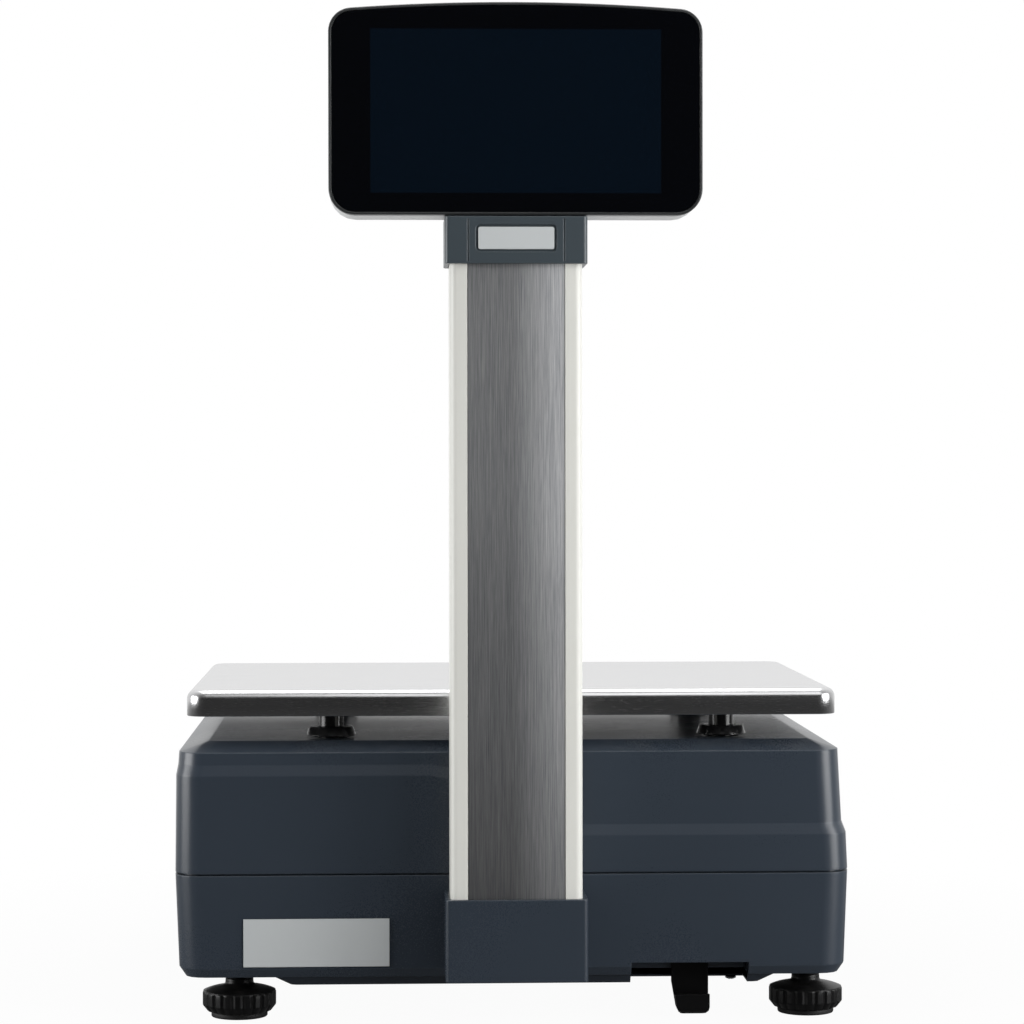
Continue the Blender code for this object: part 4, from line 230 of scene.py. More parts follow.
def clean_mesh(node, name, tilt_degrees=90.0):
    """A copy of a CAD node's mesh with its doubles merged and flat facets joined.

    It is smooth but for edges where the normal turns sharply, or rises or falls by more than
    tilt_degrees, which keeps a crease that runs round a rounded corner.
    """
    mesh = nodes[node].data.copy()
    mesh.name = name
    shape = bmesh.new()
    shape.from_mesh(mesh)
    bmesh.ops.remove_doubles(shape, verts=shape.verts, dist=DOUBLES_APART)
    bmesh.ops.dissolve_limit(shape, angle_limit=math.radians(FLAT_DEGREES), verts=shape.verts,
                             edges=shape.edges)
    shape.normal_update()
    for face in shape.faces:
        face.smooth = True
    for edge in shape.edges:
        if len(edge.link_faces) != 2:
            continue
        one, other = (face.normal for face in edge.link_faces)
        tilt = abs(math.asin(max(-1.0, min(1.0, one.z))) - math.asin(max(-1.0, min(1.0, other.z))))
        turn = one.angle(other, 0.0)
        edge.smooth = turn < math.radians(SHARP_DEGREES) and tilt < math.radians(tilt_degrees)
    shape.to_mesh(mesh)
    shape.free()
    return mesh


def put(name, mesh, surface, body, slot, *stands_for):
    """A piece in the scene, with its material and the body it rides on; slot is not used."""
    piece = bpy.data.objects.new(name, mesh)
    bpy.context.scene.collection.objects.link(piece)
    mesh.materials.clear()
    mesh.materials.append(surface)
    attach(piece, body)
    if stands_for:
        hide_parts(*stands_for)
    return piece


def skin(node, surface, body, slot, **shading):
    """A piece with the CAD node's own shape, merged and smoothed, that stands for it.

    Normals are weighted by area, so that flat faces stay flat beside rounded edges.
    """
    piece = put(node + "_skin", clean_mesh(node, node + "_skin", **shading), surface, body, slot, node)
    piece.modifiers.new("weighted normals", "WEIGHTED_NORMAL").keep_sharp = True
    return piece


HOUSING_COLOUR = srgb(51, 59, 69)
HOUSING_PALE = srgb(84, 95, 106)
housing_plastic = moulded_plastic("housing plastic", HOUSING_COLOUR, HOUSING_PALE, 0.28, ease=0.0010)
skin("lower_housing", housing_plastic, "base", "body_plastic", tilt_degrees=6.0)


# Levelling feet. A black knob of glass-filled nylon, fluted round its rim, moulded on a black stud
# that screws into the housing, and a rubber pad under it that needn't turn.

POINTS_APART = 0.000001


def grid_mesh(name, grid, capped=True, looped=False, sharp_degrees=35.0):
    """A mesh from an array of rings: quads between neighbouring points of neighbouring rings.

    The last ring joins the first where looped, or else both are covered where capped. Points that
    fall together, as at a pole, are merged.
    """
    rings, count = grid.shape[:2]
    index = np.arange(rings * count).reshape(rings, count)
    beside = np.roll(index, -1, axis=1)
    if looped:
        corners = (index, beside, np.roll(beside, -1, axis=0), np.roll(index, -1, axis=0))
    else:
        corners = (index[:-1], beside[:-1], beside[1:], index[1:])
    faces = np.stack(corners, axis=-1).reshape(-1, 4).tolist()
    if capped and not looped:
        faces += [index[0, ::-1].tolist(), index[-1].tolist()]
    mesh = bpy.data.meshes.new(name)
    mesh.from_pydata(grid.reshape(-1, 3).tolist(), [], faces)
    shape = bmesh.new()
    shape.from_mesh(mesh)
    bmesh.ops.remove_doubles(shape, verts=shape.verts, dist=POINTS_APART)
    bmesh.ops.recalc_face_normals(shape, faces=shape.faces)
    shape.to_mesh(mesh)
    shape.free()
    mesh.polygons.foreach_set("use_smooth", np.ones(len(mesh.polygons), bool))
    mesh.set_sharp_from_angle(angle=math.radians(sharp_degrees))
    return mesh


def grid_piece(name, grid, surface, body, slot, *stands_for, **shape):
    """A piece whose mesh is worked out from a grid of rings."""
    return put(name, grid_mesh(name, grid, **shape), surface, body, slot, *stands_for)


def round_angles(steps):
    """Equal angles round a full turn."""
    return np.arange(steps) * 2 * np.pi / steps


def arc(centre, radius, start, end, steps=5):
    """Points of an arc in a profile: centre plus radius times (cos, sin) of angles in degrees."""
    angle = np.radians(np.linspace(start, end, steps))
    return np.stack([centre[0] + radius * np.cos(angle), centre[1] + radius * np.sin(angle)], axis=-1)


def turned_grid(profile, centre, steps=48, lie="XYZ"):
    """A profile of (radius, height) turned about an axis: (r cos a, r sin a, h) on the axes of lie."""
    radius, height = np.asarray(profile, float).T
    angle = round_angles(steps)
    across = radius[:, None] * np.cos(angle)
    aside = radius[:, None] * np.sin(angle)
    along = np.broadcast_to(height[:, None], across.shape)
    parts = {lie[0]: across, lie[1]: aside, lie[2]: along}
    return np.stack([parts[axis] for axis in "XYZ"], axis=-1) + np.asarray(centre)


def four_corners(xs, ys):
    """Four places by name: left is -X, and rear is the customer's side."""
    return {"rear_left": (xs[0], ys[0]), "rear_right": (xs[1], ys[0]),
            "front_left": (xs[0], ys[1]), "front_right": (xs[1], ys[1])}


FOOT_X = (-0.1503, 0.1635)
FOOT_Y = (-0.13285, 0.17715)
STUD_RADIUS = 0.0037
STUD_TOP = 0.0410
KNOB_RADIUS = 0.0202
KNOB_ROUND = 0.0011
KNOB_BELOW_Z = 0.0033
KNOB_FLUTES = 22
FLUTE_DEPTH = 0.0009
FLUTE_START = 0.0165
FLUTE_TOP = 0.0145
PIN_RADIUS = 0.0030
PIN_TOP = 0.0070
PAD_RADIUS = 0.0155
PAD_GROOVE = 0.0005


def knob_grid(centre):
    """A turned knob whose rim's radius is less by the flute's depth times a rounded cosine of the angle."""
    rim = KNOB_RADIUS - KNOB_ROUND
    profile = np.concatenate([
        [(0.0, STUD_TOP), (0.0026, STUD_TOP), (STUD_RADIUS, STUD_TOP - 0.0011), (STUD_RADIUS, 0.0216)],
        [(0.0070, 0.0214)], arc((0.0070, 0.0207), 0.0007, 80, 0, 3),
        arc((0.0099, 0.0195), 0.0022, 180, 245, 5),
        arc((0.0080, -0.0120), 0.0290, 83, 65.8, 6),
        arc((rim, 0.0133), KNOB_ROUND, 60, 0, 4),
        [(KNOB_RADIUS, 0.0110), (KNOB_RADIUS, 0.0074)],
        arc((rim, 0.0070), KNOB_ROUND, 0, -50, 4),
        [(0.0176, 0.0034), (FLUTE_START, KNOB_BELOW_Z), (PIN_RADIUS + 0.0003, KNOB_BELOW_Z)],
        [(PIN_RADIUS + 0.0003, PIN_TOP + 0.0003), (0.0, PIN_TOP + 0.0003)],
    ])
    grid = turned_grid(profile, (0.0, 0.0, 0.0), 4 * KNOB_FLUTES)
    height = grid[..., 2]
    radius = np.hypot(grid[..., 0], grid[..., 1])
    on_rim = np.clip((radius - FLUTE_START) / 0.0030, 0.0, 1.0)
    on_rim = on_rim * np.clip((FLUTE_TOP - height) / 0.0010, 0.0, 1.0)
    flute = np.clip(np.cos(round_angles(4 * KNOB_FLUTES) * KNOB_FLUTES), 0.0, 1.0)
    share = 1.0 - FLUTE_DEPTH / KNOB_RADIUS * on_rim * flute[None, :]
    grid[..., 0] *= share
    grid[..., 1] *= share
    return grid + np.asarray(centre)


PAD_PROFILE = np.concatenate([
    [(0.0, PIN_TOP), (0.0026, PIN_TOP), (PIN_RADIUS, PIN_TOP - 0.0004), (PIN_RADIUS, 0.0030)],
    arc((PAD_RADIUS - 0.0007, 0.0023), 0.0007, 90, 0, 4), [(PAD_RADIUS, 0.0016)],
    arc((PAD_RADIUS - 0.0008, 0.0008), 0.0008, 0, -90, 4),
    [(0.0125, 0.0), (0.0122, PAD_GROOVE), (0.0100, PAD_GROOVE), (0.0097, 0.0), (0.0, 0.0)]])
black_plastic = moulded_plastic("black plastic", srgb(9, 9, 10), srgb(34, 34, 36), 0.36, grain=0.0004,
                                Specular_IOR_Level=0.3)
rubber = moulded_plastic("black rubber", srgb(13, 13, 14), srgb(38, 38, 39), 0.62, grain=0.0007, dust=0.4)
for corner, (x, y) in four_corners(FOOT_X, FOOT_Y).items():
    knob = "foot_knob_" + corner
    grid_piece(knob + "_skin", knob_grid((x, y, 0.0)), black_plastic, "knob_" + corner, "black_plastic", knob,
               capped=False)
    pad = "foot_pad_" + corner
    grid_piece(pad + "_skin", turned_grid(PAD_PROFILE, (x, y, 0.0)), rubber, "pad_" + corner, "rubber", pad,
               capped=False)


# Base pan. Pressed sheet with a dark powder coat, screwed up into the floor of the housing, and the
# screws that hold the two housings together, sunk in their bores.

def painted_metal(name, colour, roughness):
    """Powder coat: a fine orange peel and slight gloss variation."""
    surface, tree, shader = blank_material(name, roughness)
    place = object_place(tree)
    edge = place_group(tree, EASED_EDGE, Radius=0.0005)
    peel = add(tree, "ShaderNodeTexNoise", vector=place, scale=900.0, detail=1.0).outputs["Fac"]
    slow = add(tree, "ShaderNodeTexNoise", vector=place, scale=14.0, detail=3.0).outputs["Fac"]
    tree.links.new(mixed_colour(tree, slow, darker(colour, 0.93), colour), shader.inputs["Base Color"])
    swung_gloss(tree, shader, slow, 0.3, 0.7, roughness, 0.05)
    bumped(tree, shader, peel, 0.35, 0.00003, normal=edge.outputs["Normal"])
    return surface


def sheet_metal(name, colour, roughness, mottle=18.0):
    """Rolled sheet: faint rolling marks along X, cloudy gloss."""
    surface, tree, shader = blank_material(name, roughness, 1.0)
    place = object_place(tree)
    edge = place_group(tree, EASED_EDGE, Radius=0.0003)
    clouds = add(tree, "ShaderNodeTexNoise", vector=place, scale=mottle, detail=4.0).outputs["Fac"]
    stretched = add(tree, "ShaderNodeMapping", vector=place, scale=(60.0, 2500.0, 2500.0)).outputs[0]
    marks = add(tree, "ShaderNodeTexNoise", vector=stretched, scale=1.0, detail=2.0).outputs["Fac"]
    tree.links.new(mixed_colour(tree, clouds, darker(colour, 0.85), colour), shader.inputs["Base Color"])
    swung_gloss(tree, shader, clouds, 0.3, 0.7, roughness, 0.07)
    bumped(tree, shader, marks, 0.25, 0.00002, normal=edge.outputs["Normal"])
    return surface


CROSS_HALF = 0.14
CROSS_REACH = 0.62
CROSS_DEPTH = 0.55


def screw_grid(place, radius, height):
    """A domed head that faces down, height times (1 - 0.6 s squared) at share s of the radius, less a cross
    that is sunk where the smaller of |x| and |y| is under its half width and s is under its reach."""
    share = np.concatenate([np.linspace(0.0, 1.0, 15), [1.0, 0.0]])[:, None]
    angle = round_angles(48)[None, :]
    x = share * radius * np.cos(angle)
    y = share * radius * np.sin(angle)
    dome = height * (1.0 - 0.6 * share ** 2)
    sunk = np.clip((CROSS_HALF * radius - np.minimum(abs(x), abs(y))) / (0.06 * radius), 0.0, 1.0)
    sunk = sunk * np.clip((CROSS_REACH - share) / 0.08, 0.0, 1.0)
    z = dome - CROSS_DEPTH * height * sunk
    z[-2:] = 0.0
    return np.stack([x, y, -z], axis=-1) + np.asarray(place)


def joined(name, parts):
    """Several meshes as one."""
    shape = bmesh.new()
    for part in parts:
        shape.from_mesh(part)
    mesh = bpy.data.meshes.new(name)
    shape.to_mesh(mesh)
    shape.free()
    return mesh


zinc = sheet_metal("zinc-plated steel", srgb(165, 166, 168), 0.30, mottle=90.0)


def put_screws(name, xs, ys, seat, radius, height):
    """Screws at each crossing of the rows xs and ys, as one piece."""
    heads = [grid_mesh("screw", screw_grid((x, y, seat), radius, height), capped=False)
             for x in xs for y in ys]
    put(name, joined(name, heads), zinc, "base", "steel")


HOUSING_SCREW_X = (-0.1685, 0.1685)
HOUSING_SCREW_Y = (-0.07785, 0.07215)
HOUSING_SCREW_SEAT_Z = 0.0282
PAN_SCREW_X = (-0.108, 0.121)
PAN_SCREW_Y = (-0.1400, 0.0175, 0.1750)
PAN_FACE_Z = 0.0210
skin("base_pan", painted_metal("dark powder coat", srgb(38, 45, 54), 0.42), "base", "dark_paint")
put_screws("base_pan_screws", PAN_SCREW_X, PAN_SCREW_Y, PAN_FACE_Z, 0.0030, 0.0016)
put_screws("housing_screws", HOUSING_SCREW_X, HOUSING_SCREW_Y, HOUSING_SCREW_SEAT_Z, 0.0034, 0.0018)


# Cable well behind the outlet, with a mains inlet and a network socket that face down, their
# contacts, and the hook that keeps a cord from being pulled out.

def plan_ring(low_x, high_x, low_y, high_y, radius, steps):
    """A rounded rectangle, anticlockwise: each corner's centre plus radius (cos, sin) of a quarter turn."""
    turn = np.linspace(0.0, np.pi / 2, steps + 1)
    centres = np.array([(high_x - radius, low_y + radius), (high_x - radius, high_y - radius),
                        (low_x + radius, high_y - radius), (low_x + radius, low_y + radius)])
    angle = np.array([-np.pi / 2, 0.0, np.pi / 2, np.pi])[:, None] + turn[None, :]
    return (centres[:, None, :] + radius * np.stack([np.cos(angle), np.sin(angle)], axis=-1)).reshape(-1, 2)


def stacked_rings(x_span, y_span, corner, insets, heights, steps=4):
    """Rounded rectangles one above the other, each drawn in by its own inset."""
    rings = []
    for inset, height in zip(insets, heights):
        ring = plan_ring(x_span[0] + inset, x_span[1] - inset, y_span[0] + inset, y_span[1] - inset,
                         corner - inset, steps)
        rings.append(np.column_stack([ring, np.full(len(ring), height)]))
    return np.array(rings)


def bar_grid(x_span, y_span, z_span, corner, edge, steps=4):
    """A rounded rectangle carried up Z, whose first and last rings are drawn in along quarter circles."""
    turn = np.linspace(0.0, np.pi / 2, steps)
    inset = np.concatenate([edge * (1 - np.sin(turn)), edge * (1 - np.cos(turn))])
    height = np.concatenate([z_span[0] + edge * (1 - np.cos(turn)), z_span[1] - edge * (1 - np.sin(turn))])
    return stacked_rings(x_span, y_span, corner, inset, height)


INLET_X = 0.080
SOCKET_X = 0.112
PORT_Y = -0.15075
PORT_CEILING_Z = 0.0643
BLADE_TIP_Z = 0.0520
BLADE_SPREAD = 0.007
BLADE_PLACES = ((INLET_X - BLADE_SPREAD, PORT_Y - 0.0015), (INLET_X, PORT_Y + 0.0022),
                (INLET_X + BLADE_SPREAD, PORT_Y - 0.0015))
CONTACT_TIP_Z = 0.0525
CONTACT_PITCH = 0.00102
CONTACT_X = SOCKET_X + CONTACT_PITCH * (np.arange(8) - 3.5)
for node in ("cable_well", "mains_inlet", "network_socket", "cord_hook"):
    skin(node, black_plastic, "base", "black_plastic")
brass = sheet_metal("brass contacts", srgb(190, 160, 92), 0.28, mottle=60.0)
blades = [grid_mesh("blade", bar_grid((x - 0.001, x + 0.001), (y - 0.002, y + 0.002),
                                      (BLADE_TIP_Z, PORT_CEILING_Z), 0.0008, 0.0006))
          for x, y in BLADE_PLACES]
contacts = [grid_mesh("contact", bar_grid((x - 0.0002, x + 0.0002), (PORT_Y + 0.0020, PORT_Y + 0.0044),
                                          (CONTACT_TIP_Z, PORT_CEILING_Z), 0.00018, 0.00012))
            for x in CONTACT_X]
put("port_contacts", joined("port_contacts", blades + contacts), brass, "base", "steel")


# Weighing chain. Chassis plate, load cell, spacers and spider of milled aluminium, held by bolts, and
# four black posts with dust collars that carry the platter on their heads.

milled = sheet_metal("milled aluminium", srgb(176, 180, 184), 0.35)
for node in ("chassis_plate", "cell_spacer_lower", "load_cell", "cell_spacer_upper", "spider"):
    skin(node, milled, "base", "aluminium")
for node in ("cell_bolt_rear", "cell_bolt_front"):
    skin(node, zinc, "base", "steel")
POST_X = (-0.0996, 0.1174)
POST_Y = (-0.1240, 0.0623)
POST_PROFILE = np.concatenate([
    [(0.0, 0.1798)], arc((0.0080, 0.1788), 0.0010, 90, 0, 4), arc((0.0084, 0.1754), 0.0006, 0, -90, 3),
    [(0.0070, 0.1748), (0.0070, 0.1592), (0.0113, 0.1592)], arc((0.0113, 0.1582), 0.0010, 80, 15, 4),
    [(0.0136, 0.1549), (0.0137, 0.1544), (0.0132, 0.1541), (0.0070, 0.1541), (0.0070, 0.0868), (0.0, 0.0868)],
])
gloss_black = moulded_plastic("gloss black", srgb(16, 16, 17), srgb(58, 58, 60), 0.20, grain=0.0003, dust=0.1)
for corner, (x, y) in four_corners(POST_X, POST_Y).items():
    post = "support_post_" + corner
    grid_piece(post + "_skin", turned_grid(POST_PROFILE, (x, y, 0.0), 40), gloss_black, "base", "black_metal",
               post, capped=False)


# Electronics. The power supply is a box of galvanised sheet, the main board and the keypad's board
# are green laminate; all of them lie inside the housings.

board_green = moulded_plastic("circuit board", srgb(22, 78, 46), srgb(80, 130, 90), 0.35, dust=0.05)
galvanised = sheet_metal("galvanised sheet", srgb(150, 153, 156), 0.42)
skin("power_supply", galvanised, "base", "steel")
for node in ("main_board", "keypad_board"):
    skin(node, board_green, "base", "circuit_board")


# Upper housing. Moulded like the lower one, with a raised deck, a sloping console and the shoulder
# that runs high on one side and sweeps down behind the column to the other.

skin("upper_housing", housing_plastic, "base", "body_plastic", tilt_degrees=5.0)


# Label printer. Folded steel frame, moulded lid on its pin, a roll of blank labels on its spindle, the
# paper's web to the platen, print head and tear bar.

ROLL_X = -0.1245
ROLL_Y = 0.14895
ROLL_Z = 0.0840
ROLL_RADIUS = 0.0360
ROLL_BORE = 0.0127
ROLL_HALF = 0.0300
ROLL_EASE = 0.0003
CORE_RADIUS = 0.0200
LAYER_PITCH = 0.00016


def wound_layers_group():
    """Wound layers: a fine ripple of the distance from the roll's axis, for the roll's flat ends."""
    tree, entry, result = group_of("wound layers", {"Pitch": LAYER_PITCH}, ("Height", "Tone"))
    place = add(tree, "ShaderNodeMapping", vector=object_place(tree), location=(0.0, -ROLL_Y, -ROLL_Z),
                scale=(0.0, 1.0, 1.0)).outputs[0]
    reach = add(tree, "ShaderNodeVectorMath", {"operation": "LENGTH"}, in0=place).outputs["Value"]
    layers = maths(tree, "DIVIDE", reach, entry.outputs["Pitch"])
    fine = add(tree, "ShaderNodeTexNoise", {"noise_dimensions": "1D"}, w=layers, scale=1.0, detail=1.0)
    broad = add(tree, "ShaderNodeTexNoise", {"noise_dimensions": "1D"}, w=layers, scale=0.06, detail=2.0)
    tree.links.new(fine.outputs["Fac"], result.inputs["Height"])
    tree.links.new(maths(tree, "ADD", maths(tree, "MULTIPLY", fine.outputs["Fac"], 0.5),
                         maths(tree, "MULTIPLY", broad.outputs["Fac"], 0.5)), result.inputs["Tone"])
    return tree


roll_paper, roll_tree, roll_shader = blank_material("wound labels", 0.7)
layers = place_group(roll_tree, wound_layers_group(), Pitch=LAYER_PITCH)
roll_tree.links.new(mixed_colour(roll_tree, layers.outputs["Tone"], srgb(206, 202, 190), srgb(244, 243, 238)),
                    roll_shader.inputs["Base Color"])
bumped(roll_tree, roll_shader, layers.outputs["Height"], 0.5, 0.00005)
half_roll = np.array([(ROLL_BORE, ROLL_HALF), (CORE_RADIUS, ROLL_HALF - 0.0001),
                      (ROLL_RADIUS - ROLL_EASE, ROLL_HALF), (ROLL_RADIUS, ROLL_HALF - ROLL_EASE)])
roll_profile = np.concatenate([half_roll * (1.0, -1.0), half_roll[::-1]])
grid_piece("label_roll_skin", turned_grid(roll_profile, (ROLL_X, ROLL_Y, ROLL_Z), 96, "YZX"), roll_paper,
           "roll", "paper", "label_roll", looped=True)

PLATEN_Y = 0.19745
PLATEN_Z = 0.0990
PLATEN_RADIUS = 0.0060
PLATEN_HALF = 0.0330
JOURNAL_RADIUS = 0.0025
JOURNAL_HALF = 0.0390
half_platen = np.concatenate([
    [(0.0, JOURNAL_HALF), (JOURNAL_RADIUS - 0.0003, JOURNAL_HALF), (JOURNAL_RADIUS, JOURNAL_HALF - 0.0003)],
    [(JOURNAL_RADIUS, PLATEN_HALF)], arc((PLATEN_RADIUS - 0.0006, PLATEN_HALF - 0.0006), 0.0006, 90, 0, 3)])
platen_profile = np.concatenate([half_platen * (1.0, -1.0), half_platen[::-1]])
grid_piece("platen_roller_skin", turned_grid(platen_profile, (ROLL_X, PLATEN_Y, PLATEN_Z), 48, "YZX"), rubber,
           "platen", "rubber", "platen_roller", capped=False)

for node in ("printer_frame", "lid_hinge_pin", "tear_bar"):
    skin(node, galvanised, "base", "steel")
for node, body in (("print_head", "base"), ("printer_lid", "lid"), ("roll_spindle", "roll")):
    skin(node, black_plastic, body, "black_plastic")


def strip_grid(path, half_width, thickness, middle_x):
    """A strip along a path in Y and Z: four points round its section at each place of the path,
    set off by half the thickness along the path's normal."""
    path = np.asarray(path, float)
    along = np.gradient(path, axis=0)
    along /= np.linalg.norm(along, axis=1)[:, None]
    normal = np.stack([-along[:, 1], along[:, 0]], axis=-1) * thickness / 2
    rings = []
    for side, face in ((-1, -1), (1, -1), (1, 1), (-1, 1)):
        edge = path + face * normal
        rings.append(np.column_stack([np.full(len(path), middle_x + side * half_width), edge]))
    return np.stack(rings, axis=1)


WEB_HALF = 0.0285
WEB_SHEET = 0.00012
WEB_GAP = 0.0003
web_path = np.concatenate([
    arc((ROLL_Y, ROLL_Z), ROLL_RADIUS + WEB_GAP, 122, 92, 6),
    [(ROLL_Y + 0.0150, 0.1188), (ROLL_Y + 0.0300, 0.1152)],
    arc((PLATEN_Y, PLATEN_Z), PLATEN_RADIUS + WEB_GAP, 106, 62, 6),
    [(PLATEN_Y + 0.0042, 0.1043), (PLATEN_Y + 0.0052, 0.1070), (PLATEN_Y + 0.0057, 0.1100)]])
label_paper = moulded_plastic("label paper", srgb(226, 225, 220), srgb(240, 240, 236), 0.7, dust=0.0,
                              wear_and_highlight=0.0)
grid_piece("label_web", strip_grid(web_path, WEB_HALF, WEB_SHEET, ROLL_X), label_paper, "base", "paper")


# Console. A membrane keypad with embossed keys and printed legends lies in a recess of the slope.
# A round level lies in the deck under the platter; the power rocker sits in its frame on the +X wall.

CONSOLE_Y = 0.09995
DECK_Z = 0.1532
SLOPE = math.atan(0.0432 / 0.1122)
KEY_PITCH_X = 0.0170
KEY_PITCH_V = 0.0142
KEY_GAP = 0.0021
FIRST_KEY_X = 0.1440
FIRST_KEY_V = 0.0235
KEY_HEIGHT = 0.0005
KEY_CORNER = 0.0018
LEGEND_RELIEF = 0.00003
LEGEND_GAP = 0.00001
PRESET_LETTER = 0.0052
DIGIT_LETTER = 0.0088
FUNCTION_LETTER = 0.0048
PRINT_LETTER = 0.0058
PRINT_COLUMNS = 3
PRESET_COLUMNS = 7
LEGENDS = (("ZERO", "TARE", "C", "F1", "F2", "F3"), ("PLU", "QTY", "UNIT", "x", "+", "-"),
           ("7", "8", "9", "VOID", "SUM", "FEED"), ("4", "5", "6", "V1", "V2", "V3"),
           ("1", "2", "3", "V4", "V5", "V6"), ("0", "00", ".", "PRINT"))


def on_slope(points):
    """Points (x, v, w) of the sloping console: y = Y + v cos A + w sin A, z = Z - v sin A + w cos A."""
    x, v, w = np.moveaxis(np.asarray(points, float), -1, 0)
    return np.stack([x, CONSOLE_Y + v * math.cos(SLOPE) + w * math.sin(SLOPE),
                     DECK_Z - v * math.sin(SLOPE) + w * math.cos(SLOPE)], axis=-1)


def key_middle(column, row, columns):
    """The middle (x, v) of a key on the slope."""
    return FIRST_KEY_X - KEY_PITCH_X * (column + (columns - 1) / 2), FIRST_KEY_V + KEY_PITCH_V * row


def key_mesh(column, row, columns=1):
    """An embossed key: a rounded rectangle whose last rings are drawn in, on the slope."""
    x, v = key_middle(column, row, columns)
    half_x = (KEY_PITCH_X * columns - KEY_GAP) / 2
    half_v = (KEY_PITCH_V - KEY_GAP) / 2
    rings = stacked_rings((x - half_x, x + half_x), (v - half_v, v + half_v), KEY_CORNER,
                          (0.0, 0.0, 0.0002, 0.0006), (-0.0001, 0.0002, 0.0004, KEY_HEIGHT), 3)
    return grid_mesh("key", on_slope(rings), sharp_degrees=60.0)


def legend_mesh(text, height, column, row, columns=1):
    """Text as a thin mesh, read from the operator's side: x = centre - u, v = centre - up."""
    line = bpy.data.curves.new("legend", "FONT")
    line.body = text
    line.size = height
    line.align_x = "CENTER"
    line.align_y = "CENTER"
    line.resolution_u = 2
    line.extrude = LEGEND_RELIEF
    holder = bpy.data.objects.new("legend", line)
    mesh = bpy.data.meshes.new_from_object(holder)
    bpy.data.objects.remove(holder)
    bpy.data.curves.remove(line)
    local = np.empty(3 * len(mesh.vertices))
    mesh.vertices.foreach_get("co", local)
    u, up, out = local.reshape(-1, 3).T
    x, v = key_middle(column, row, columns)
    placed = on_slope(np.column_stack([x - u, v - up, out + KEY_HEIGHT + LEGEND_GAP]))
    mesh.vertices.foreach_set("co", placed.ravel())
    return mesh


overlay = moulded_plastic("keypad overlay", srgb(72, 84, 98), srgb(110, 118, 126), 0.42, grain=0.0003,
                          wear_and_highlight=0.1)
skin("keypad_overlay", overlay, "base", "overlay")
preset_keys, digit_keys, function_keys, print_keys, dark_legends, white_legends = [], [], [], [], [], []
for row in range(len(LEGENDS)):
    for column in range(PRESET_COLUMNS):
        preset_keys.append(key_mesh(column, row))
        dark_legends.append(legend_mesh(str(row * PRESET_COLUMNS + column + 1), PRESET_LETTER, column, row))
for row, legends in enumerate(LEGENDS):
    for column, legend in enumerate(legends, PRESET_COLUMNS):
        if legend == "PRINT":
            print_keys.append(key_mesh(column, row, PRINT_COLUMNS))
            white_legends.append(legend_mesh(legend, PRINT_LETTER, column, row, PRINT_COLUMNS))
        elif legend[0] in "0123456789.":
            digit_keys.append(key_mesh(column, row))
            dark_legends.append(legend_mesh(legend, DIGIT_LETTER, column, row))
        else:
            function_keys.append(key_mesh(column, row))
            white_legends.append(legend_mesh(legend, FUNCTION_LETTER, column, row))
for name, meshes, colour in (("preset_keys", preset_keys, srgb(190, 193, 195)),
                             ("digit_keys", digit_keys, srgb(216, 216, 212)),
                             ("function_keys", function_keys, srgb(46, 92, 138)),
                             ("print_key", print_keys, srgb(40, 122, 78)),
                             ("dark_legends", dark_legends, srgb(24, 26, 30)),
                             ("white_legends", white_legends, srgb(240, 240, 238))):
    surface = moulded_plastic(name.replace("_", " "), colour, colour, 0.36, grain=0.0003, depth=0.00001,
                              dust=0.08, wear_and_highlight=0.0, ease=0.0002)
    put(name, joined(name, meshes), surface, "base", "overlay")

VIAL_PLACE = (0.150, 0.07495, 0.0)
VIAL_PROFILE = np.concatenate([
    [(0.0, 0.1485), (0.0065, 0.1485), (0.0065, 0.1544)], arc((0.0071, 0.1544), 0.0006, 180, 90, 4),
    arc((0.0095, 0.1540), 0.0010, 90, 0, 5),
    [(0.0105, 0.1535), (0.0080, 0.1535), (0.0080, 0.1470), (0.0, 0.1470)]])
grid_piece("level_vial_housing_skin", turned_grid(VIAL_PROFILE, VIAL_PLACE), black_plastic, "base",
           "black_plastic", "level_vial_housing", capped=False)
vial_fluid, vial_tree, vial_shader = blank_material("vial fluid", 0.05, Transmission_Weight=0.5, IOR=1.45)
haze = add(vial_tree, "ShaderNodeTexNoise", vector=object_place(vial_tree), scale=160.0, detail=2.0)
vial_tree.links.new(mixed_colour(vial_tree, haze.outputs["Fac"], srgb(176, 214, 70), srgb(206, 232, 96)),
                    vial_shader.inputs["Base Color"])
FLUID_TOP_Z = 0.1550
FLUID_PROFILE = np.concatenate([[(0.0, 0.1488), (0.0062, 0.1488), (0.0062, 0.1541)],
                                arc((0.0054, 0.1542), 0.0008, 0, 90, 5), [(0.0, FLUID_TOP_Z)]])
grid_piece("level_vial_skin", turned_grid(FLUID_PROFILE, VIAL_PLACE), vial_fluid, "base", "clear_glass",
           "level_vial", capped=False)
RING_SECTION = [(0.0027, 0.15502), (0.0027, 0.15506), (0.0031, 0.15506), (0.0031, 0.15502)]
grid_piece("level_ring", turned_grid(RING_SECTION, VIAL_PLACE, 40), black_plastic, "base", "black_plastic",
           looped=True)
bubble_profile = arc((0.0, 0.0), 1.0, -90, 90, 11) * (0.0021, 0.0003) + (0.0, FLUID_TOP_Z)
bubble_look = moulded_plastic("bubble", srgb(226, 240, 170), srgb(240, 250, 200), 0.12, dust=0.0, wear_and_highlight=0.0,
                              depth=0.000002)
grid_piece("level_bubble", turned_grid(bubble_profile, VIAL_PLACE, 32), bubble_look, "base", "clear_glass",
           capped=False)

ROCKER_PIVOT = (0.18279, 0.13715, 0.0560)
ROCKER_HALF = 0.0068
ROCKER_EAR = 0.0005
ROCKER_TILT = math.radians(8.0)


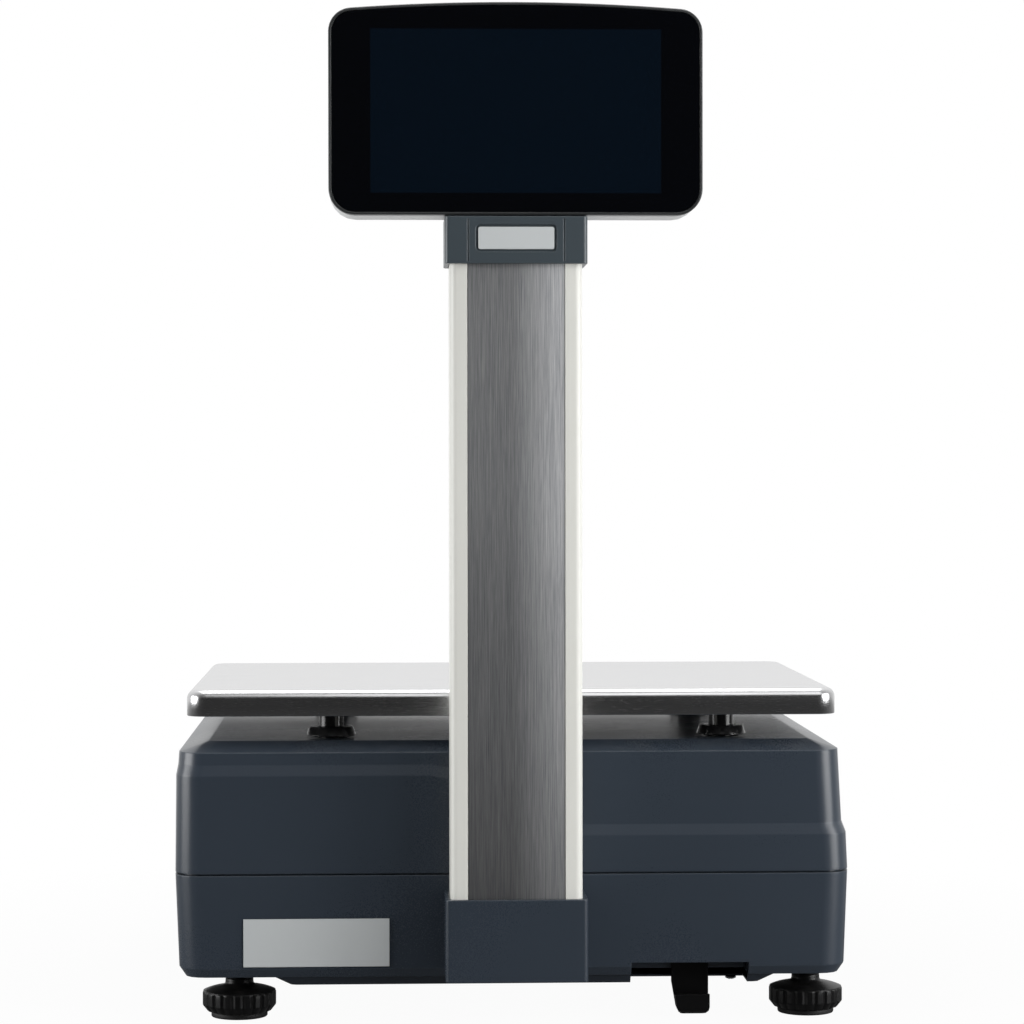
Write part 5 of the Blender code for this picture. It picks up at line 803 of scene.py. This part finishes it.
def on_rocker(points):
    """Points (s along, t up, h out) of the rocker's faces: x = e - 2 e |s| / L + h, turned about Z."""
    s, t, h = np.moveaxis(np.asarray(points, float), -1, 0)
    out = ROCKER_EAR - 2 * ROCKER_EAR * abs(s) / ROCKER_HALF + h
    return np.stack([ROCKER_PIVOT[0] + out * math.cos(ROCKER_TILT) - s * math.sin(ROCKER_TILT),
                     ROCKER_PIVOT[1] + out * math.sin(ROCKER_TILT) + s * math.cos(ROCKER_TILT),
                     ROCKER_PIVOT[2] + t], axis=-1)


skin("rocker_frame", black_plastic, "base", "black_plastic")
skin("power_rocker", black_plastic, "rocker", "black_plastic")
MARK_PLACE = np.array((0.0038, 0.0, 0.0))
MARK_SPAN = (-0.00002, 0.00006)
bar_mark = bar_grid((-0.0002, 0.0002), (-0.0016, 0.0016), MARK_SPAN, 0.00015, 0.00002, 3)
bar_mark = on_rocker(bar_mark + MARK_PLACE)
mark_section = np.array([(0.0011, MARK_SPAN[0]), (0.0011, MARK_SPAN[1]),
                         (0.0015, MARK_SPAN[1]), (0.0015, MARK_SPAN[0])])
ring_mark = on_rocker(turned_grid(mark_section, -MARK_PLACE, 32))
marks = joined("rocker_marks", [grid_mesh("mark", bar_mark), grid_mesh("mark", ring_mark, looped=True)])
mark_paint = moulded_plastic("mark paint", srgb(236, 236, 232), srgb(236, 236, 232), 0.5, dust=0.0, wear_and_highlight=0.0)
put("rocker_marks", marks, mark_paint, "rocker", "overlay")


# Column. A powder-coated aluminium extrusion with a brushed panel snapped in on each face,
# held in a moulded shoe at its foot and closed by a moulded collar with a bare badge.

def brushed_metal(name, dark, light, roughness, stretch, metallic=1.0, contrast=1.0, painted_reflection=None):
    """Brushed metal: noise drawn out along the brushing, coarse and fine together.

    Given rows of (from, to, share) for X and for Z, a painted reflection multiplies the colour, clouded
    a little, by a value that rises from the share to 1 between the two places.
    """
    surface, tree, shader = blank_material(name, roughness, metallic)
    place = object_place(tree)
    coarse = add(tree, "ShaderNodeMapping", vector=place, scale=stretch).outputs[0]
    fine = add(tree, "ShaderNodeMapping", vector=place, scale=[3.1 * s for s in stretch]).outputs[0]
    wide = add(tree, "ShaderNodeTexNoise", vector=coarse, scale=1.0, detail=4.0, roughness=0.65)
    thin = add(tree, "ShaderNodeTexNoise", vector=fine, scale=1.0, detail=3.0, roughness=0.6)
    grain = maths(tree, "ADD", maths(tree, "MULTIPLY", wide.outputs["Fac"], 0.55),
                  maths(tree, "MULTIPLY", thin.outputs["Fac"], 0.45))
    spread = 0.18 / contrast
    streak = ranged(tree, grain, 0.5 - spread, 0.5 + spread, 0.0, 1.0)
    colour = mixed_colour(tree, streak, dark, light)
    if painted_reflection:
        # Painted reflection: the colour is made darker towards the left and towards the bottom.
        axes = add(tree, "ShaderNodeSeparateXYZ", in0=place)
        cloud = add(tree, "ShaderNodeTexNoise", vector=place, scale=11.0, detail=1.0).outputs["Fac"]
        painted_reflection_factor = maths(tree, "ADD", maths(tree, "MULTIPLY", cloud, 0.16), 0.92)
        for axis, (low, high, share) in zip("XZ", painted_reflection):
            painted_reflection_factor = maths(tree, "MULTIPLY", painted_reflection_factor, ranged(tree, axes.outputs[axis], low, high, share, 1.0))
        scaled = add(tree, "ShaderNodeVectorMath", {"operation": "SCALE"}, in0=colour, scale=painted_reflection_factor)
        colour = scaled.outputs[0]
    tree.links.new(colour, shader.inputs["Base Color"])
    swung_gloss(tree, shader, streak, 0.0, 1.0, roughness, -0.08)
    bumped(tree, shader, grain, 0.3, 0.00002)
    return surface


# The panel's colour is painted darker on its left and low down, as a painted reflection of darker
# surroundings.
BRUSHED_UPRIGHT = (2400.0, 2400.0, 24.0)
PAINTED_DARKER_LEFT = (-0.002, 0.022, 0.42)
PAINTED_DARKER_BELOW = (0.07, 0.30, 0.46)
powder_coat = painted_metal("off-white powder coat", srgb(221, 221, 215), 0.38)
brushed_panel = brushed_metal("brushed panel", srgb(140, 144, 152), srgb(255, 255, 255), 0.46,
                              BRUSHED_UPRIGHT, metallic=0.6, painted_reflection=(PAINTED_DARKER_LEFT, PAINTED_DARKER_BELOW))
bare_plate = painted_metal("bare plate", srgb(196, 200, 201), 0.34)
collar_plastic = moulded_plastic("collar plastic", srgb(64, 73, 79), srgb(104, 114, 120), 0.36, ease=0.0008)
skin("column_extrusion", powder_coat, "base", "white_paint")
for node in ("column_panel_customer", "column_panel_operator"):
    skin(node, brushed_panel, "base", "brushed_panel")
skin("column_shoe", housing_plastic, "base", "body_plastic")
skin("column_collar", collar_plastic, "base", "body_plastic")
for node in ("shoe_screw_left", "shoe_screw_right"):
    skin(node, zinc, "base", "steel")
for node in ("badge_plate", "rating_plate"):
    skin(node, bare_plate, "base", "plate")


# Platter. Pressed from one sheet of stainless steel, brushed on top, with a rolled edge and a skirt
# all round; it lies on the four posts and lifts off.

PLATTER_HALF_X = 0.1780
PLATTER_Y = (-0.15585, 0.09415)
PLATTER_SKIRT_Z = 0.1670
PLATTER_TOP_Z = 0.1813
PLATTER_CORNER = 0.0110
PLATTER_EDGE = 0.0050
PLATTER_SHEET = 0.0012
PLATTER_FLAT = 0.0100


def tray_grid():
    """Rings of a tray up its rolled edge, inside and out: inset r (1 - cos a), height top - r (1 - sin a)."""
    turn = np.radians(np.linspace(0.0, 90.0, 10))
    inner = PLATTER_EDGE - PLATTER_SHEET
    inner_top = PLATTER_TOP_Z - PLATTER_SHEET
    inset = np.concatenate([[PLATTER_FLAT], PLATTER_SHEET + inner * (1 - np.cos(turn[::-1])),
                            PLATTER_SHEET * np.array([1.0, 0.75, 0.25, 0.0]),
                            PLATTER_EDGE * (1 - np.cos(turn)), [0.0062, PLATTER_FLAT]])
    height = np.concatenate([[inner_top], inner_top - inner * (1 - np.sin(turn[::-1])),
                             PLATTER_SKIRT_Z + np.array([0.0003, 0.0, 0.0, 0.0003]),
                             PLATTER_TOP_Z - PLATTER_EDGE * (1 - np.sin(turn)),
                             [PLATTER_TOP_Z, PLATTER_TOP_Z]])
    return stacked_rings((-PLATTER_HALF_X, PLATTER_HALF_X), PLATTER_Y, PLATTER_CORNER, inset, height, 10)


BRUSHED_ACROSS = (30.0, 2600.0, 2600.0)
stainless = brushed_metal("brushed stainless", srgb(196, 196, 197), srgb(228, 228, 229), 0.24, BRUSHED_ACROSS,
                          contrast=0.7)
grid_piece("platter_skin", tray_grid(), stainless, "platter", "satin_steel", "platter", sharp_degrees=50.0)


# Display head. Silver back shell, dark bezel ring, one sheet of black-backed glass over the LCD, and
# a smaller window on the operator's side; its spigot turns in the collar.

HEAD_HALF_X = 0.0990
HEAD_BOTTOM_Z = 0.4356
HEAD_SIDE_TOP_Z = 0.5440
HEAD_ARCH = 0.0042
HEAD_FRONT_Y = -0.20915
BEZEL_BACK_Y = -0.20315
BEZEL_RIM = 0.0016
BEZEL_REBATE = 0.0020
GLASS_INSET = 0.0019
GLASS_BACK_Y = -0.20745
LCD_Z = 0.4906
LCD_OPENING = (0.0828, 0.0497)
LCD_LIT_AREA = (0.0768, 0.0432)
LOW_CORNER = 0.0142
HIGH_CORNER = 0.0126


def head_ring(inset, y):
    """The head's outline, all drawn in by the inset: low corners are quarter circles, and high ones end
    where the arched top z = top + arch (1 - (x / half)^2) has the same slope."""
    half = HEAD_HALF_X - inset
    low, high = HEAD_BOTTOM_Z + inset, HEAD_SIDE_TOP_Z - inset
    low_radius, high_radius = LOW_CORNER - inset, HIGH_CORNER - inset
    low_turn = np.linspace(-np.pi / 2, 0.0, 11)
    low_arc = np.column_stack([half - low_radius + low_radius * np.cos(low_turn),
                               low + low_radius + low_radius * np.sin(low_turn)])
    centre_x = half - high_radius
    end = np.pi / 2 - math.atan(2 * HEAD_ARCH * centre_x / half ** 2)
    end_x = centre_x + high_radius * math.cos(end)
    centre_z = high + HEAD_ARCH * (1 - (end_x / half) ** 2) - high_radius * math.sin(end)
    high_turn = np.linspace(0.0, end, 11)
    high_arc = np.column_stack([centre_x + high_radius * np.cos(high_turn),
                                centre_z + high_radius * np.sin(high_turn)])
    top_x = np.linspace(end_x, 0.0, 9)[1:]
    top = np.column_stack([top_x, high + HEAD_ARCH * (1 - (top_x / half) ** 2)])
    right = np.concatenate([low_arc, high_arc, top])
    left = right[-2::-1] * (-1.0, 1.0)
    outline = np.concatenate([right, left])
    return np.column_stack([outline[:, 0], np.full(len(outline), y), outline[:, 1]])


def window_ring(like, half_x, half_z, y):
    """A rectangle about the LCD, with a point for each of a ring: the ray from the middle meets its side."""
    x = like[:, 0]
    z = like[:, 2] - LCD_Z
    share = np.minimum(half_x / np.maximum(abs(x), 1e-9), half_z / np.maximum(abs(z), 1e-9))
    return np.column_stack([x * share, np.full(len(x), y), z * share + LCD_Z])


silver_plastic = moulded_plastic("silver plastic", srgb(196, 198, 199), srgb(215, 216, 218), 0.32, wear_and_highlight=0.1)
bezel_plastic = moulded_plastic("bezel plastic", srgb(46, 48, 49), srgb(96, 98, 100), 0.28, grain=0.0003,
                                dust=0.1)
skin("head_back_shell", silver_plastic, "head", "silver_plastic")
skin("swivel_spigot", bezel_plastic, "head", "bezel_plastic")
skin("head_board", board_green, "head", "circuit_board")

outer = head_ring(0.0, BEZEL_BACK_Y)
bezel_rings = [outer] + [head_ring(inset, HEAD_FRONT_Y + back) for inset, back in (
    (0.0, 0.0010), (0.0001, 0.0005), (0.0004, 0.0001), (0.0008, 0.0), (BEZEL_RIM - 0.0002, 0.0),
    (BEZEL_RIM, 0.0002), (BEZEL_RIM, BEZEL_REBATE))]
bezel_rings += [window_ring(outer, *LCD_OPENING, y) for y in (HEAD_FRONT_Y + BEZEL_REBATE, BEZEL_BACK_Y)]
grid_piece("display_bezel_skin", np.array(bezel_rings), bezel_plastic, "head", "bezel_plastic",
           "display_bezel", looped=True)

black_glass, glass_tree, glass_shader = blank_material("black-backed glass", 0.04, Coat_Weight=0.3,
                                                      Coat_Roughness=0.02, IOR=1.5)
glass_place = add(glass_tree, "ShaderNodeSeparateXYZ", in0=object_place(glass_tree))
off_x = maths(glass_tree, "ABSOLUTE", glass_place.outputs["X"])
off_z = maths(glass_tree, "ABSOLUTE", maths(glass_tree, "SUBTRACT", glass_place.outputs["Z"], LCD_Z))
near_edge = maths(glass_tree, "MAXIMUM", maths(glass_tree, "SUBTRACT", off_x, LCD_LIT_AREA[0]),
                  maths(glass_tree, "SUBTRACT", off_z, LCD_LIT_AREA[1]))
lcd_area = ranged(glass_tree, near_edge, -0.0003, 0.0003, 1.0, 0.0)
glass_tree.links.new(mixed_colour(glass_tree, lcd_area, srgb(3, 4, 7), srgb(5, 14, 24)),
                     glass_shader.inputs["Base Color"])
smears = add(glass_tree, "ShaderNodeTexNoise", vector=object_place(glass_tree), scale=22.0, detail=4.0)
swung_gloss(glass_tree, glass_shader, smears.outputs["Fac"], 0.35, 0.75, 0.07, 0.04)
glass_rings = [head_ring(GLASS_INSET + inset, y) for inset, y in (
    (0.0, GLASS_BACK_Y), (0.0, HEAD_FRONT_Y + 0.0002), (0.0002, HEAD_FRONT_Y), (0.0008, HEAD_FRONT_Y))]
grid_piece("display_glass_skin", np.array(glass_rings), black_glass, "head", "black_glass", "display_glass")
skin("operator_window", black_glass, "head", "black_glass")
for node in ("lcd_panel", "operator_lcd"):
    skin(node, black_glass, "head", "screen")


# Studio. The camera of the photograph, a floor and a world that are white to the camera and darker to
# gloss on the customer's side, soft lights at both sides, high in front and above, and a fill from the
# front that glossy faces don't mirror.

CAMERA_PLACE = (-0.0672, -1.8784, 0.3005)
CAMERA_LENS = 111.07
CAMERA_YAW = math.radians(2.225)
CAMERA_PITCH = math.radians(-0.743)
CAMERA_ROLL = math.radians(-0.073)
camera_data = bpy.data.cameras.new("camera")
camera_data.sensor_width = 36.0
camera_data.lens = CAMERA_LENS
camera = bpy.data.objects.new("camera", camera_data)
bpy.context.scene.collection.objects.link(camera)
ahead = Vector((math.sin(CAMERA_YAW) * math.cos(CAMERA_PITCH), math.cos(CAMERA_YAW) * math.cos(CAMERA_PITCH),
                math.sin(CAMERA_PITCH)))
across = Vector((math.cos(CAMERA_YAW), -math.sin(CAMERA_YAW), 0.0))
upward = across.cross(ahead)
turned_across = across * math.cos(CAMERA_ROLL) + upward * math.sin(CAMERA_ROLL)
turned_up = upward * math.cos(CAMERA_ROLL) - across * math.sin(CAMERA_ROLL)
stand = Matrix((turned_across, turned_up, -ahead)).transposed().to_4x4()
stand.translation = CAMERA_PLACE
camera.matrix_world = stand
bpy.context.scene.camera = camera

world = bpy.data.worlds.new("studio")
bpy.context.scene.world = world
world.use_nodes = True
sky = world.node_tree
direction = sky.nodes.new("ShaderNodeTexCoord").outputs["Generated"]
away = add(sky, "ShaderNodeSeparateXYZ", in0=direction)
behind = ranged(sky, away.outputs["Y"], -0.5, 0.7, 0.02, 0.90)
overhead = ranged(sky, away.outputs["Z"], 0.3, 0.9, 0.0, 0.30)
level = maths(sky, "MINIMUM", maths(sky, "ADD", behind, overhead), 1.0)
seen = sky.nodes.new("ShaderNodeLightPath").outputs["Is Camera Ray"]
strength = maths(sky, "MAXIMUM", level, seen)
backdrop = sky.nodes["Background"]
backdrop.inputs["Color"].default_value = (1.0, 1.0, 1.0, 1.0)
sky.links.new(strength, backdrop.inputs["Strength"])


def soft_light(name, place, aim, width, height, watts, mirrored=True):
    """A rectangular lamp that points at a place on the object, and shows in glossy faces where mirrored."""
    data = bpy.data.lights.new(name, "AREA")
    data.shape = "RECTANGLE"
    data.size, data.size_y = width, height
    data.energy = watts
    lamp = bpy.data.objects.new(name, data)
    bpy.context.scene.collection.objects.link(lamp)
    lamp.location = place
    lamp.rotation_euler = (Vector(aim) - Vector(place)).to_track_quat("-Z", "Y").to_euler()
    lamp.visible_glossy = mirrored


MIDDLE = (0.0, -0.1, 0.25)
soft_light("high front softbox", (0.35, -1.25, 1.35), MIDDLE, 1.3, 0.9, 4.5)
soft_light("left softbox", (-1.6, -0.45, 0.35), MIDDLE, 1.0, 0.9, 20.0)
soft_light("right softbox", (1.45, -0.85, 0.45), MIDDLE, 0.9, 1.0, 22.0)
soft_light("front fill", (1.1, -1.6, 0.5), MIDDLE, 0.6, 0.6, 5.0, mirrored=False)
soft_light("top softbox", (0.0, 0.3, 1.9), (0.0, 0.0, 0.15), 1.4, 1.2, 20.0)

FLOOR_HALF = 6.0
FLOOR_CORNERS = np.array([(-1, -1, 0), (1, -1, 0), (1, 1, 0), (-1, 1, 0)]) * FLOOR_HALF
FLOOR_GREY = (0.30, 0.30, 0.30, 1.0)
floor_mesh = bpy.data.meshes.new("floor")
floor_mesh.from_pydata(FLOOR_CORNERS.tolist(), [], [(0, 1, 2, 3)])
floor = bpy.data.objects.new("floor", floor_mesh)
bpy.context.scene.collection.objects.link(floor)
floor_paint, floor_tree, floor_shader = blank_material("floor", 0.8)
floor_shader.inputs["Base Color"].default_value = FLOOR_GREY
floor_mesh.materials.append(floor_paint)
floor_place = object_place(floor_tree)
distance = add(floor_tree, "ShaderNodeVectorMath", {"operation": "LENGTH"}, in0=floor_place).outputs["Value"]
clear = ranged(floor_tree, distance, 0.24, 0.6, 0.96, 1.0)
ray = floor_tree.nodes.new("ShaderNodeLightPath").outputs
direct = maths(floor_tree, "MAXIMUM", ray["Is Camera Ray"], ray["Is Transmission Ray"])
shown = maths(floor_tree, "MAXIMUM", direct, ray["Is Glossy Ray"])
floor_y = add(floor_tree, "ShaderNodeSeparateXYZ", in0=floor_place).outputs["Y"]
mirrored_level = ranged(floor_tree, floor_y, -0.3, 1.2, 0.03, 0.90)
glow = floor_tree.nodes.new("ShaderNodeEmission")
floor_tree.links.new(maths(floor_tree, "MAXIMUM", direct, mirrored_level), glow.inputs["Strength"])
blend = floor_tree.nodes.new("ShaderNodeMixShader")
share_of_glow = maths(floor_tree, "MULTIPLY", clear, shown)
for value, socket in zip((share_of_glow, floor_shader.outputs[0], glow.outputs[0]), blend.inputs):
    floor_tree.links.new(value, socket)
floor_tree.links.new(blend.outputs[0], floor_tree.nodes["Material Output"].inputs["Surface"])

bpy.context.scene.view_settings.view_transform = "Standard"
